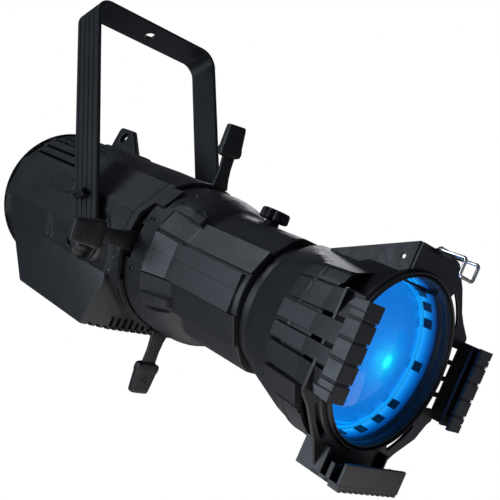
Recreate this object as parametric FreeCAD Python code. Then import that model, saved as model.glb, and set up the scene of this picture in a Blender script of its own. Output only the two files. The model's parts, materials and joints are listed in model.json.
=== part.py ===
import FreeCAD, Part
import math
import os

# Ellipsoidal spotlight with an LED engine, hanging from a U-shaped yoke.
#
# Row frame: +Z up, origin on the axis of the clamp bolt hole, on top of the yoke's crossbar.
# Lamp frame: X forward along the optical axis, Z up, optical axis at y = z = 0. The tilt pivot lies
# straight below the optical axis at x = 0. The lamp hangs nose down by TILT, and the barrel is
# turned by ROLL about the optical axis, as it is left after focusing.
# Right means the -Y side and left the +Y side, for a person who looks along the beam.

V = FreeCAD.Vector
X_AXIS = V(1, 0, 0)
Y_AXIS = V(0, 1, 0)
Z_AXIS = V(0, 0, 1)

# ---- driving dimensions, millimetres and degrees ----
TILT = 31.2                 # nose-down angle at rest
ROLL = -5.4                 # barrel angle at rest
PIVOT_DROP = 15.6           # pivot below the optical axis

YOKE_HEIGHT = 290.0         # pivot to the top of the crossbar
YOKE_WIDTH = 184.0          # outside the legs
YOKE_BAR = 40.0             # width of the flat bar
YOKE_THICK = 5.0
YOKE_BEND = 21.0            # outer bend radius
CLAMP_HOLE_R = 6.5

SHELL_R = 84.5              # round part of the housing
SHELL_WALL = 3.0
SIDE_PROUD = 1.0            # side covers stand out by this
REAR_X = -207.0             # back edge of the housing shells
FRONT_X = 58.0              # front edge of the housing shells
BROW_X = 74.0               # front edge of the two brows over the gate
SEAM_Z = -35.0              # seam between the upper shells and the base
BASE_Z = -97.5              # underside of the base
BASE_HALF = 75.5            # half width of the base box
PANEL = 2.5                 # raised flat side of the base

GATE_R = 81.0               # round gate section of the barrel
GATE_WALL = 3.0
BARREL_R = 65.5
BARREL_BORE = 62.0
BARREL_FRONT = 216.0
BARREL_BACK = 50.0
SLIDE_R = 61.7              # sliding lens tube, outside
SLIDE_BORE = 59.0

BLADE_THICK = 1.0
BLADE_X = 59.4              # back face of the rearmost shutter blade
BLADE_PITCH = 1.8           # the four blades lie one behind the other
BLADE_PIN_R = 70.0          # radius at which a blade's guide pin rests
BLADE_TRAVEL = 26.0
GATE_X = 67.2               # back face of the gate plate
APERTURE_R = 38.0

CONE_X = 229.0              # back rim of the lens cone
CONE_FRONT = 318.0
CONE_TOP = 66.5             # the cone is flat on top
LENS_BACK = 307.0           # flat side of the front lens
LENS_TOP = 328.0            # crown of the front lens
CELL_R = 74.5               # lens cell, outside
CELL_BORE = 71.5
CELL_BACK = 294.0
PLATE_X = 333.0             # back plate of the accessory holder
PLATE_THICK = 3.0
HOLDER_HALF = 100.0         # half width of the accessory holder
HOLDER_WALL = 3.5
HOLDER_SPAN = 38.0          # half length of a side channel
HOLDER_BOTTOM_SPAN = 43.0   # half length of the bottom channel
HOLDER_FRONT = 363.4
WINDOW_PITCH = 15.6         # spacing of the windows behind the side channels

KNOB_X = 150.0              # focus knob along the barrel
FOCUS_BACK = 8.5            # focus travel towards the rear
FOCUS_FORE = 30.0           # focus travel towards the front


# ---- basic solids in the lamp frame ----
def block(x0, x1, y0, y1, z0, z1):
    return Part.makeBox(x1 - x0, y1 - y0, z1 - z0, V(x0, y0, z0))


def disc(radius, x0, x1, y=0.0, z=0.0):
    return Part.makeCylinder(radius, x1 - x0, V(x0, y, z), X_AXIS)


def tube(outer, inner, x0, x1):
    return disc(outer, x0, x1).cut(disc(inner, x0 - 1, x1 + 1))


def disc_y(radius, y0, y1, x, z):
    return Part.makeCylinder(radius, y1 - y0, V(x, y0, z), Y_AXIS)


def disc_z(radius, z0, z1, x, y):
    return Part.makeCylinder(radius, z1 - z0, V(x, y, z0), Z_AXIS)


def polygon(points):
    wire = Part.makePolygon(points + [points[0]])
    return Part.Face(wire)


def prism_y(outline, y0, y1):
    """Outline of (x, z) points, pulled along Y."""
    face = polygon([V(x, y0, z) for x, z in outline])
    return face.extrude(V(0, y1 - y0, 0))


def prism_x(outline, x0, x1):
    """Outline of (y, z) points, pulled along X."""
    face = polygon([V(x0, y, z) for y, z in outline])
    return face.extrude(V(x1 - x0, 0, 0))


def turned(outline):
    """Closed outline of (x, radius) points, turned about the optical axis."""
    face = polygon([V(x, 0, r) for x, r in outline])
    return face.revolve(V(0, 0, 0), X_AXIS, 360)


def pie(angle0, angle1, x0, x1, radius=150.0):
    """Wedge about the optical axis, angles from +Y towards +Z."""
    steps = max(2, int(math.ceil((angle1 - angle0) / 30.0)))
    points = [V(x0, 0, 0)]
    for i in range(steps + 1):
        a = math.radians(angle0 + (angle1 - angle0) * i / steps)
        points.append(V(x0, radius * math.cos(a), radius * math.sin(a)))
    return polygon(points).extrude(V(x1 - x0, 0, 0))


def shell_piece(outer, wall, x0, x1, angle0, angle1):
    return tube(outer, outer - wall, x0, x1).common(pie(angle0, angle1, x0, x1))


def about_axis(shape, angle):
    copy = shape.copy()
    copy.rotate(V(0, 0, 0), X_AXIS, angle)
    return copy


def mirrored(shape):
    return shape.mirror(V(0, 0, 0), Y_AXIS)


def joined(shapes):
    first = shapes[0]
    return first.fuse(shapes[1:]).removeSplitter() if len(shapes) > 1 else first


# ---- placing ----
def place_lamp(shape):
    copy = shape.copy()
    copy.translate(V(0, 0, PIVOT_DROP))
    copy.rotate(V(0, 0, 0), Y_AXIS, TILT)
    copy.translate(V(0, 0, -YOKE_HEIGHT))
    return copy


def place_barrel(shape):
    return place_lamp(about_axis(shape, ROLL))


def save(name, shape):
    shape.exportStep("parts/" + name + ".step")
    print(name, "solids", len(shape.Solids), "volume", round(shape.Volume / 1000.0, 1), shape.isValid())


# ---- yoke ----
def yoke_band(inset, thick, x0, x1):
    """U-shaped strip whose outside lies inset millimetres inside the yoke's outside."""
    half = YOKE_WIDTH / 2 - inset
    top = -inset
    bend = YOKE_BEND - inset
    bottom = -YOKE_HEIGHT - 40.0

    def outline(half_width, top_z, radius):
        a = V(x0, -half_width, bottom)
        b = V(x0, -half_width, top_z - radius)
        c = V(x0, -half_width + radius, top_z)
        d = V(x0, half_width - radius, top_z)
        e = V(x0, half_width, top_z - radius)
        f = V(x0, half_width, bottom)
        k = radius * (1 - math.sqrt(0.5))
        arc1 = Part.Arc(b, V(x0, -half_width + k, top_z - k), c).toShape()
        arc2 = Part.Arc(d, V(x0, half_width - k, top_z - k), e).toShape()
        lines = [Part.makeLine(p, q) for p, q in ((a, b), (c, d), (e, f), (f, a))]
        edges = [lines[0], arc1, lines[1], arc2, lines[2], lines[3]]
        return Part.Face(Part.Wire(edges)).extrude(V(x1 - x0, 0, 0))

    return outline(half, top, bend).cut(outline(half - thick, top - thick, max(bend - thick, 1.0)))


def yoke():
    """One bent bar, kept as five lengths that meet end to end: crossbar, two bends and two legs."""
    half = YOKE_BAR / 2
    bar = yoke_band(0, YOKE_THICK, -half, half)
    groove_depth = 0.8
    for centre in (-12.5, -4.2, 4.2, 12.5):
        bar = bar.cut(yoke_band(-1.0, groove_depth + 1.0, centre - 1.3, centre + 1.3))
    reach = YOKE_WIDTH / 2 + 5
    keep = block(-half, half, -reach, reach, -YOKE_HEIGHT, 10)
    keep = keep.fuse(disc_y(half, -reach, reach, 0, -YOKE_HEIGHT))
    bar = bar.common(keep)
    bar = bar.cut(disc_z(CLAMP_HOLE_R, -20, 10, 0, 0))
    bar = bar.cut(disc_y(5.3, -reach, reach, 0, -YOKE_HEIGHT))
    bar = bar.cut(disc_y(2.0, -reach, -reach + 20, 0, STOP_PIN_Z))
    straight = YOKE_WIDTH / 2 - YOKE_BEND
    cross = bar.common(block(-half, half, -straight, straight, -YOKE_BEND, 0))
    sections = [cross]
    for side in (-1, 1):
        y0 = min(side * straight, side * reach)
        y1 = y0 + reach - straight
        sections.append(bar.common(block(-half, half, y0, y1, -YOKE_BEND, 0)))
        sections.append(bar.common(block(-half - 1, half + 1, y0, y1, -YOKE_HEIGHT - 30, -YOKE_BEND)))
    return Part.makeCompound(sections)


STOP_PIN_Z = -YOKE_HEIGHT + 52.0


def stop_pin():
    """Small roller held on the right leg by a stud: the tilt stop."""
    face = -YOKE_WIDTH / 2
    roller = Part.makeCylinder(4.5, 17, V(-8.5, face - 5.0, STOP_PIN_Z), X_AXIS)
    stud = disc_y(2.0, face - 5.0, face + 4.0, 0, STOP_PIN_Z)
    return roller.fuse(stud)


def pivot_washers():
    inner = YOKE_WIDTH / 2 - YOKE_THICK
    washers = []
    for side in (-1, 1):
        y0 = min(side * inner, side * (inner - 1.0))
        ring = disc_y(13.0, y0, y0 + 1.0, 0, -YOKE_HEIGHT)
        washers.append(ring.cut(disc_y(5.3, y0 - 1, y0 + 2, 0, -YOKE_HEIGHT)))
    return Part.makeCompound(washers)


def tilt_knob(side):
    """Lobed clamping knob with its stud, modelled about the pivot on the right side."""
    face = -YOKE_WIDTH / 2 - 0.4
    body = disc_y(15.5, face - 15.0, face, 0, 0)
    for i in range(8):
        a = 2 * math.pi * i / 8
        body = body.fuse(disc_y(3.2, face - 13.5, face - 3.0, 14.5 * math.cos(a), 14.5 * math.sin(a)))
    body = body.cut(disc_y(8.0, face - 16.0, face - 12.5, 0, 0))
    stud = disc_y(4.95, face - 1, face + 22.0, 0, 0)
    knob = body.fuse(stud)
    if side > 0:
        knob = mirrored(knob)
    knob.translate(V(0, 0, -YOKE_HEIGHT))
    return knob


# ---- housing shells ----
def top_cover():
    inner = SHELL_R - SHELL_WALL
    cover = shell_piece(SHELL_R, SHELL_WALL, REAR_X, FRONT_X, 36, 144)
    for a in (36, 126):
        cover = cover.fuse(shell_piece(SHELL_R, SHELL_WALL, FRONT_X - 1, BROW_X, a, a + 18))
    for i in range(13):
        angle = 36 + 9 * i
        if i in (0, 12):
            continue
        front = -150.0 if 5 <= i <= 7 else -104.0
        slot = block(REAR_X + 6, front, -1.7, 1.7, inner - 5, SHELL_R + 5)
        cover = cover.cut(about_axis(slot, angle - 90))
    return cover.removeSplitter()


def side_cover(side):
    """Raised side cover with a seat for the badge and a hole for the pivot hub."""
    outer = SHELL_R + SIDE_PROUD
    cover = shell_piece(outer, SHELL_WALL, REAR_X, FRONT_X, 144.2, 204.2)
    cover = cover.cut(disc_y(18.3, -120, -50, 0, -PIVOT_DROP))
    cover = cover.cut(block(REAR_X - 5, FRONT_X + 5, -120, 0, -60, SEAM_Z + 0.3))
    return cover if side < 0 else mirrored(cover)


BADGE_X = -95.0
BADGE_ANGLE = 19.5          # above the horizontal


def badge(side):
    """Blank oval plate that follows the side cover."""
    outer = SHELL_R + SIDE_PROUD
    oval = Part.Ellipse(V(0, 0, 0), 28.0, 10.0)
    face = Part.Face(Part.Wire([oval.toShape()]))
    column = face.extrude(V(0, 0, 20))
    column.rotate(V(0, 0, 0), X_AXIS, 90)
    column.translate(V(BADGE_X, -outer + 10.0, 0))
    column = about_axis(column, -BADGE_ANGLE)
    plate = tube(outer + 0.9, outer, BADGE_X - 40, BADGE_X + 40).common(column)
    return plate if side < 0 else mirrored(plate)


BASE_REAR_TOP = -190.0
BASE_REAR_BOTTOM = -124.0
BASE_FRONT_TOP = 33.0
BASE_FRONT_BOTTOM = 17.0
BASE_FRONT_KNEE = -49.0


def base_outline(inset):
    return [
        (BASE_REAR_TOP + inset, SEAM_Z - 0.3),
        (BASE_FRONT_TOP - inset, SEAM_Z - 0.3),
        (BASE_FRONT_TOP - inset, BASE_FRONT_KNEE),
        (BASE_FRONT_BOTTOM - inset, BASE_Z + inset),
        (BASE_REAR_BOTTOM + inset, BASE_Z + inset),
    ]


def base_shell():
    """Lower half of the housing with the power supply box under it."""
    below = block(REAR_X - 5, 80, -120, 120, -120, SEAM_Z - 0.3)
    outer = disc(SHELL_R, REAR_X, FRONT_X).common(below)
    outer = outer.fuse(prism_y(base_outline(0), -BASE_HALF, BASE_HALF))
    outer = outer.fuse(prism_y(base_outline(1.0), -BASE_HALF - PANEL, BASE_HALF + PANEL))
    inner = disc(SHELL_R - SHELL_WALL, REAR_X - 1, FRONT_X + 1)
    inner = inner.fuse(prism_y(base_outline(3.0), -BASE_HALF + 3, BASE_HALF - 3))
    shell = outer.cut(inner).common(below)
    for i in range(19):
        y = (i - 9) * 7.4
        shell = shell.cut(block(BASE_REAR_BOTTOM + 6, 40, y - 1.9, y + 1.9, BASE_Z - 1, BASE_Z + 2.0))
    grille_seat = block(0, 40, -GRILLE_HALF, GRILLE_HALF, GRILLE_LOW, GRILLE_HIGH)
    shell = shell.cut(grille_seat)
    for side in (-1, 1):
        y0 = min(side * 40, side * 90)
        for x in (40.0, 49.0):
            shell = shell.cut(block(x, x + 4.0, y0, y0 + 50, -66, -39))
    return shell.removeSplitter()


GRILLE_HALF = 62.0
GRILLE_LOW = -92.0
GRILLE_HIGH = -72.0


def front_grille():
    """Slotted insert in the sloping front wall of the base."""
    wall = prism_y(base_outline(0), -GRILLE_HALF, GRILLE_HALF)
    wall = wall.cut(prism_y(base_outline(3.0), -GRILLE_HALF - 1, GRILLE_HALF + 1))
    wall = wall.common(block(0, 40, -GRILLE_HALF, GRILLE_HALF, GRILLE_LOW, GRILLE_HIGH))
    for i in range(16):
        y = (i - 7.5) * 7.4
        wall = wall.cut(block(0, 40, y - 1.5, y + 1.5, GRILLE_LOW + 3, GRILLE_HIGH - 3))
    return wall


def rear_cap():
    """Dished rear end with a rim that laps the shells."""
    x0 = REAR_X - 0.2
    cap = tube(86.5, 76.0, x0 - 7.0, x0)
    cap = cap.fuse(tube(81.0, 76.0, x0 - 7.0, x0 + 8.0))
    cap = cap.cut(disc(90, x0 - 20, x0 - 5.0).cut(disc(84.5, x0 - 21, x0)))
    return cap.removeSplitter()


REAR_PANEL_X = REAR_X - 3.2
DISPLAY_Z = 38.0
BUTTON_Z = 13.0
BUTTON_PITCH = 15.0
SOCKET_Y = 30.0
DATA_Z = -14.0
POWER_Z = -49.0


def rear_panel():
    x1 = REAR_PANEL_X
    plate = disc(75.8, x1 - 2.5, x1)
    plate = plate.cut(block(x1 - 5, x1 + 5, -30, 30, DISPLAY_Z - 13, DISPLAY_Z + 13))
    for i in range(4):
        plate = plate.cut(disc(4.1, x1 - 5, x1 + 5, (i - 1.5) * BUTTON_PITCH, BUTTON_Z))
    for side in (-1, 1):
        for z in (DATA_Z, POWER_Z):
            plate = plate.cut(disc(12.0, x1 - 5, x1 + 5, side * SOCKET_Y, z))
    return plate.cut(disc(7.0, x1 - 5, x1 + 5, 0, POWER_Z))


def display_window():
    x1 = REAR_PANEL_X
    window = block(x1 - 2.8, x1, -30, 30, DISPLAY_Z - 13, DISPLAY_Z + 13)
    return window.fuse(block(x1, x1 + 4, -33, 33, DISPLAY_Z - 15, DISPLAY_Z + 15))


def button(i):
    """Push button that travels 0.8 mm into the panel."""
    x1 = REAR_PANEL_X
    y = (i - 1.5) * BUTTON_PITCH
    cap = disc(3.8, x1 - 4.5, x1 + 1.5, y, BUTTON_Z)
    return cap.fuse(disc(5.0, x1 + 0.5, x1 + 2.0, y, BUTTON_Z))


def data_socket(side, female):
    """Five-pole data connector with a square flange; pins or holes on a circle."""
    x1 = REAR_PANEL_X
    y = side * SOCKET_Y
    flange = block(x1 - 4.3, x1 - 2.5, y - 13, y + 13, DATA_Z - 13, DATA_Z + 13)
    body = flange.fuse(disc(11.8, x1 - 2.6, x1 + 18, y, DATA_Z))
    body = body.fuse(disc(10.8, x1 - 6.0, x1, y, DATA_Z))
    if female:
        for i in range(5):
            a = math.radians(180 + 45 * i - 90)
            body = body.cut(disc(1.3, x1 - 8, x1 + 4, y + 5.5 * math.cos(a), DATA_Z + 5.5 * math.sin(a)))
        return body
    body = body.cut(disc(9.4, x1 - 8, x1 + 8, y, DATA_Z))
    for i in range(5):
        a = math.radians(180 + 45 * i - 90)
        pin = disc(1.2, x1 - 3.0, x1 + 9, y + 5.5 * math.cos(a), DATA_Z + 5.5 * math.sin(a))
        body = body.fuse(pin)
    return body


def power_socket(side):
    """Round twist-lock power connector on a square flange, with three keyways."""
    x1 = REAR_PANEL_X
    y = side * SOCKET_Y
    flange = block(x1 - 4.3, x1 - 2.5, y - 13, y + 13, POWER_Z - 13, POWER_Z + 13)
    body = flange.fuse(disc(11.8, x1 - 2.6, x1 + 22, y, POWER_Z))
    body = body.fuse(disc(11.4, x1 - 7.0, x1, y, POWER_Z))
    body = body.cut(disc(9.8, x1 - 9, x1 + 12, y, POWER_Z))
    core = disc(6.0, x1 - 4.5, x1 + 13, y, POWER_Z)
    for i in range(3):
        a = math.radians(90 + 120 * i)
        core = core.cut(block(x1 - 6, x1 + 6, y + 3.6 * math.cos(a) - 0.8, y + 3.6 * math.cos(a) + 0.8,
                              POWER_Z + 3.6 * math.sin(a) - 1.8, POWER_Z + 3.6 * math.sin(a) + 1.8))
    return body.fuse(core)


def fuse_holder():
    x1 = REAR_PANEL_X
    body = disc(6.8, x1 - 3, x1 + 18, 0, POWER_Z)
    cap = disc(8.0, x1 - 6.5, x1 - 2.5, 0, POWER_Z)
    return body.fuse(cap).cut(block(x1 - 8, x1 - 5.5, -5, 5, POWER_Z - 0.8, POWER_Z + 0.8))


def safety_fin():
    """Lug on top of the housing for the safety cable."""
    low = SHELL_R - 0.8
    outline = [(-146, low), (-138, 107), (-134, 111.5), (-113, 111.5), (-108, 108), (-80, low)]
    fin = prism_y(outline, -3.5, 3.5)
    hole = disc_y(4.5, -10, 10, -128, 98).fuse(disc_y(4.5, -10, 10, -124, 103))
    fin = fin.cut(hole)
    foot = shell_piece(SHELL_R + 2.2, 2.2, -152, -74, 84, 96)
    return fin.fuse(foot).cut(disc(SHELL_R, -160, -60)).removeSplitter()


def pivot_bracket(side):
    """Hub that the tilt stud screws into, on a plate fixed to the bulkhead."""
    hub_face = -(YOKE_WIDTH / 2 - YOKE_THICK - 1.3)
    hub = disc_y(18.0, hub_face, -66, 0, -PIVOT_DROP)
    plate = block(-26, 40, -70, -66, -38, 8)
    part = hub.fuse(plate).cut(disc_y(5.02, -90, -50, 0, -PIVOT_DROP))
    return part if side < 0 else mirrored(part)


# ---- inside the housing ----
def bulkhead():
    """Front wall with the stepped ring that the barrel turns in."""
    wall = tube(81.2, 40.0, 40, 44)
    ring = tube(77.0, 75.0, 44, 52).fuse(tube(77.0, 70.0, 52, 56))
    return wall.fuse(ring)


def light_tunnel():
    return tube(37.0, 34.0, -2, 40)


def led_board():
    """Round board with its grid of emitters."""
    plate = disc(30, -2, 0).fuse(disc(19, -0.1, 1.0))
    for i in range(5):
        for k in range(5):
            y = (i - 2) * 6.0
            z = (k - 2) * 6.0
            if math.hypot(y, z) < 16:
                plate = plate.fuse(block(0.9, 2.4, y - 1.9, y + 1.9, z - 1.9, z + 1.9))
    return plate


def condenser_lens():
    ball = Part.makeSphere(42, V(-12, 0, 0))
    return ball.common(disc(33.7, 16, 40))


def heat_sink():
    base = disc(60, -12, -2)
    parts = [base]
    for i in range(15):
        y = (i - 7) * 8.0
        half = math.sqrt(58.0 ** 2 - y ** 2)
        parts.append(block(-90, -11, y - 0.9, y + 0.9, -min(half, 54), half))
    return joined(parts)


def fan_frame():
    frame = block(-115, -90, -52, 52, -54, 50).cut(disc(49.0, -120, -80, 0, -2))
    core = disc(17, -93, -90, 0, -2)
    for i in range(4):
        arm = block(-93, -90, 0, 56, -3, 3)
        arm.rotate(V(0, 0, 0), X_AXIS, 45 + 90 * i)
        arm.translate(V(0, 0, -2))
        core = core.fuse(arm.common(block(-93, -90, -52, 52, -54, 50)))
    return frame.fuse(core).removeSplitter()


def fan_rotor():
    hub = disc(18, -112, -94, 0, 0)
    parts = [hub]
    for i in range(7):
        blade = block(-104, -102.2, 16, 47.5, -11, 11)
        blade.rotate(V(-103, 0, 0), Y_AXIS, 38)
        blade = blade.common(disc(48, -112, -94.5))
        blade.rotate(V(0, 0, 0), X_AXIS, i * 360.0 / 7)
        parts.append(blade)
    rotor = joined(parts)
    rotor.translate(V(0, 0, -2))
    return rotor


def power_supply():
    box = block(-108, 2, -60, 60, BASE_Z + 3.0, BASE_Z + 5.0)
    case = block(-100, -6, -52, 52, BASE_Z + 5.0, -60)
    return box.fuse(case)


def control_board():
    board = block(-180, -178.4, -52, 52, -22, 58)
    parts = [board]
    chips = ((-20, 20, 7, 7, 2), (15, 30, 5, 9, 3), (30, 0, 6, 5, 8), (-35, -5, 8, 5, 6))
    for y, z, half_width, half_height, rise in chips:
        chip = block(-178.5, -178.4 + rise, y - half_width, y + half_width, z - half_height, z + half_height)
        parts.append(chip)
    for y in (-46, 46):
        for z in (-16, 52):
            parts.append(disc(3, REAR_X + 1.5, -179.9, y, z))
    return joined(parts)


def screw_head(x, angle, radius, head=3.2, height=1.2, length=6.0):
    """Pan-head screw standing radially on a round shell at the given angle from +Y."""
    screw = disc_z(head, radius, radius + height, x, 0)
    screw = screw.fuse(disc_z(1.4, radius - length, radius + 0.1, x, 0))
    screw = screw.cut(block(x - 2.0, x + 2.0, -0.4, 0.4, radius + height - 0.6, radius + height + 1))
    return about_axis(screw, angle - 90)


def housing_screws():
    screws = []
    for angle in (57, 123):
        for x in (-180.0, 21.0):
            screws.append(screw_head(x, angle, SHELL_R, length=2.5))
    return Part.makeCompound(screws)


# ---- barrel, turned by ROLL ----
def barrel_outline_solid():
    """Outside of both barrel halves: round gate, domed shoulder, eight-sided tube."""
    start = V(BARREL_BACK, 0, 0)
    edge = V(BARREL_BACK, 0, GATE_R)
    shoulder = V(92, 0, GATE_R)
    end = V(130, 0, BARREL_R + 1.0)
    neck = V(134, 0, BARREL_R - 2.0)
    tail = V(134, 0, 0)
    arc = Part.Arc(shoulder, V(114.5, 0, 76.0), end).toShape()
    pairs = ((start, edge), (edge, shoulder), (end, neck), (neck, tail), (tail, start))
    lines = [Part.makeLine(p, q) for p, q in pairs]
    wire = Part.Wire([lines[0], lines[1], arc, lines[2], lines[3], lines[4]])
    dome = Part.Face(wire).revolve(V(0, 0, 0), X_AXIS, 360)
    corner = BARREL_R / math.cos(math.radians(22.5))
    eight = []
    for i in range(8):
        a = math.radians(22.5 + 45 * i)
        eight.append((corner * math.cos(a), corner * math.sin(a)))
    body = prism_x(eight, 120, BARREL_FRONT).common(disc(BARREL_R + 3.5, 118, BARREL_FRONT + 1))
    return dome.fuse(body)


def barrel_cavity():
    return turned([
        (BARREL_BACK - 5, 0), (BARREL_BACK - 5, GATE_R - GATE_WALL), (91, GATE_R - GATE_WALL),
        (111, 73.0), (126, 63.0), (127, BARREL_BORE), (BARREL_FRONT + 5, BARREL_BORE),
        (BARREL_FRONT + 5, 0),
    ])


def lever_slot(angle):
    slot = block(BLADE_X - 0.8, BLADE_X + 4 * BLADE_PITCH, -18, 18, 70, 95)
    return about_axis(slot, angle - 90)


def barrel_shells():
    """Upper and lower halves, which meet on the horizontal plane through the axis."""
    solid = barrel_outline_solid()
    for side in (-1, 1):
        y0 = min(side * 60, side * 71)
        solid = solid.fuse(block(90, BARREL_FRONT - 7, y0, y0 + 11, -17, 15))
    for angle in (40, 140):
        rib = block(84, 138, -4.5, 4.5, 60, GATE_R + 1.6)
        solid = solid.fuse(about_axis(rib, angle - 90).common(turned(
            [(84, 60), (84, 79), (86, GATE_R + 0.4), (132, GATE_R + 0.4), (138, 76), (138, 60)])))
    for angle in (208, 332):
        rib = block(84, 136, -4.5, 4.5, 60, GATE_R + 1.6)
        solid = solid.fuse(about_axis(rib, angle - 90).common(turned(
            [(84, 60), (84, 79), (86, GATE_R + 0.4), (130, GATE_R + 0.4), (136, 76), (136, 60)])))
    solid = solid.cut(barrel_cavity())
    for angle in (0, 90, 180, 270):
        solid = solid.cut(lever_slot(angle))
    slot_x0 = KNOB_X - FOCUS_BACK - 6.8
    slot_x1 = KNOB_X + FOCUS_FORE + 4.5
    solid = solid.cut(block(slot_x0, slot_x1, -3.6, 3.6, 55, 80))
    upper = solid.common(block(0, 300, -120, 120, 0.1, 120))
    lower = solid.common(block(0, 300, -120, 120, -120, -0.1))
    return upper.removeSplitter(), lower.removeSplitter()


def gate_hub():
    """Ring that turns in the bulkhead and carries the two barrel halves."""
    hub = tube(74.7, 66.0, 46, 51.5)
    hub = hub.fuse(tube(69.95, 66.0, 51.4, 56.6))
    return hub.fuse(tube(77.8, 66.0, 56.5, 58.4)).removeSplitter()


def gate_plate():
    """Aperture plate with the four slots that guide the blade pins."""
    plate = tube(77.8, APERTURE_R, GATE_X, GATE_X + 3.0)
    for angle in (0, 90, 180, 270):
        low = BLADE_PIN_R - BLADE_TRAVEL - 4.0
        slot = block(GATE_X - 1, GATE_X + 4, -3.2, 3.2, low, BLADE_PIN_R + 4.0)
        plate = plate.cut(about_axis(slot, angle - 90))
    return plate


LEVER_TILT = {90: 9.5, 180: 7.5, 270: 3.5, 0: 0.0}


def blade_back(angle):
    """Position along the axis of a blade's back face; the top blade is the rearmost."""
    order = {90: 0, 270: 1, 180: 2, 0: 3}
    return BLADE_X + order[angle] * BLADE_PITCH


def blade(angle):
    """Shutter blade with its lever, drawn as the top one and turned to its place."""
    x0 = blade_back(angle)
    outline = [(-32, 36), (32, 36), (32, 54), (15, 74), (11, 78), (8, 90), (7, 104), (7.5, 146),
               (-7.5, 146), (-7, 104), (-8, 90), (-11, 78), (-15, 74), (-32, 54)]
    shape = prism_x(outline, x0, x0 + BLADE_THICK).cut(disc(3.0, x0 - 1, x0 + 3, 0, BLADE_PIN_R))
    shape.rotate(V(0, 0, BLADE_PIN_R), X_AXIS, LEVER_TILT[angle])
    return about_axis(shape, angle - 90)


def blade_grip(angle):
    """Moulded heat-proof grip pushed over the end of the lever."""
    x0 = blade_back(angle)
    mid = x0 + BLADE_THICK / 2
    outline = [(-14, 117), (-14.5, 122), (-11.3, 148), (-10, 151), (10, 151), (11.3, 148), (14.5, 122),
               (14, 117)]
    body = prism_x(outline, mid - 5.0, mid + 5.0)
    pocket = [(-7.1, 116), (7.1, 116), (7.6, 146.1), (-7.6, 146.1)]
    body = body.cut(prism_x(pocket, x0 - 0.05, x0 + BLADE_THICK + 0.05))
    body.rotate(V(0, 0, BLADE_PIN_R), X_AXIS, LEVER_TILT[angle])
    return about_axis(body, angle - 90)


def blade_pin(angle):
    """Headed guide pin: it slides in the gate plate and the blade swings on it."""
    x0 = blade_back(angle)
    pin = disc(2.95, x0 - 0.2, GATE_X + 3.2, 0, BLADE_PIN_R)
    pin = pin.fuse(disc(4.5, GATE_X + 3.2, GATE_X + 4.4, 0, BLADE_PIN_R))
    return about_axis(pin, angle - 90)


def barrel_screws():
    screws = []
    for angle in (41, 139):
        screws.append(screw_head(78.0, angle, GATE_R, length=2.5))
    for angle in (161, 199, 19, 341):
        screws.append(screw_head(78.5, angle, GATE_R, length=2.5))
    return Part.makeCompound(screws)


# ---- lens tube, turned by ROLL ----
def lens_tube():
    """Sliding tube and flared cone."""
    slide = tube(SLIDE_R, SLIDE_BORE, 136, CONE_X + 1)
    slide = slide.cut(disc_z(2.0, 50, 70, KNOB_X, 0))
    boss = disc_z(5.5, 54.5, SLIDE_BORE + 0.6, KNOB_X, 0).cut(disc_z(3.0, 50, 70, KNOB_X, 0))
    outside = turned([
        (CONE_X, 0), (CONE_X, 65.5), (CONE_X + 2, 67.0), (275, 83.0), (300, 89.0), (CONE_FRONT, 94.0),
        (CONE_FRONT, 0),
    ])
    inside = turned([
        (CONE_X - 1, 0), (CONE_X - 1, SLIDE_BORE), (CONE_X + 2, SLIDE_BORE), (CONE_X + 6, 64.0),
        (275, 80.0), (300, 86.0), (CONE_FRONT, 91.0), (CONE_FRONT + 1, 91.0), (CONE_FRONT + 1, 0),
    ])
    below = block(200, 400, -120, 120, -120, CONE_TOP)
    cone = outside.common(below).cut(inside.common(block(200, 400, -120, 120, -120, CONE_TOP - 2.5)))
    cone = cone.cut(disc(CELL_R + 0.05, CELL_BACK, 400))
    web = tube(86.2, CELL_BORE, CELL_BACK - 3, CELL_BACK).common(below)
    slide = slide.cut(disc_z(3.0, 50, 70, KNOB_X, 0))
    return joined([slide, boss, cone, web])


def lens_cell():
    """Short tube with a ledge behind the front lens."""
    cell = tube(CELL_R, CELL_BORE, CELL_BACK, PLATE_X + PLATE_THICK)
    return cell.fuse(tube(CELL_BORE + 0.5, 69.0, LENS_BACK - 2.6, LENS_BACK - 0.1)).removeSplitter()


def front_lens():
    """Plano-convex lens, flat towards the lamp."""
    radius = 150.0
    ball = Part.makeSphere(radius, V(LENS_TOP - radius, 0, 0))
    return ball.common(disc(CELL_BORE - 0.3, LENS_BACK, LENS_TOP + 1))


def lens_ring():
    """Thin snap ring with tabs that holds the front lens in the cell."""
    ring = tube(CELL_BORE, 70.6, 311.0, 312.6)
    for i in range(12):
        tab = block(311.0, 320.5, -4.2, 4.2, 70.2, CELL_BORE + 1).common(tube(CELL_BORE, 70.5, 300, 330))
        ring = ring.fuse(about_axis(tab, 30 * i + 9))
    return ring.cut(front_lens())


def rear_lens():
    ball_a = Part.makeSphere(95, V(190 - 95 + 4, 0, 0))
    ball_b = Part.makeSphere(95, V(170 + 95, 0, 0))
    return ball_a.common(ball_b).common(disc(SLIDE_BORE - 0.2, 168, 202))


def side_channel(half_length):
    """One accessory channel, drawn along the bottom (-Z) edge: outer wall and three lips that touch it."""
    wall_in = HOLDER_HALF - HOLDER_WALL
    parts = [block(PLATE_X - 8, HOLDER_FRONT, -half_length, half_length, -HOLDER_HALF, -wall_in)]
    plate_front = PLATE_X + PLATE_THICK
    for x0, x1, reach in ((plate_front, 343.4, 3.0), (349.4, 352.4, 11.0), (359.4, HOLDER_FRONT, 17.0)):
        parts.append(block(x0, x1, -half_length, half_length, -wall_in, -wall_in + reach))
    return parts


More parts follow.
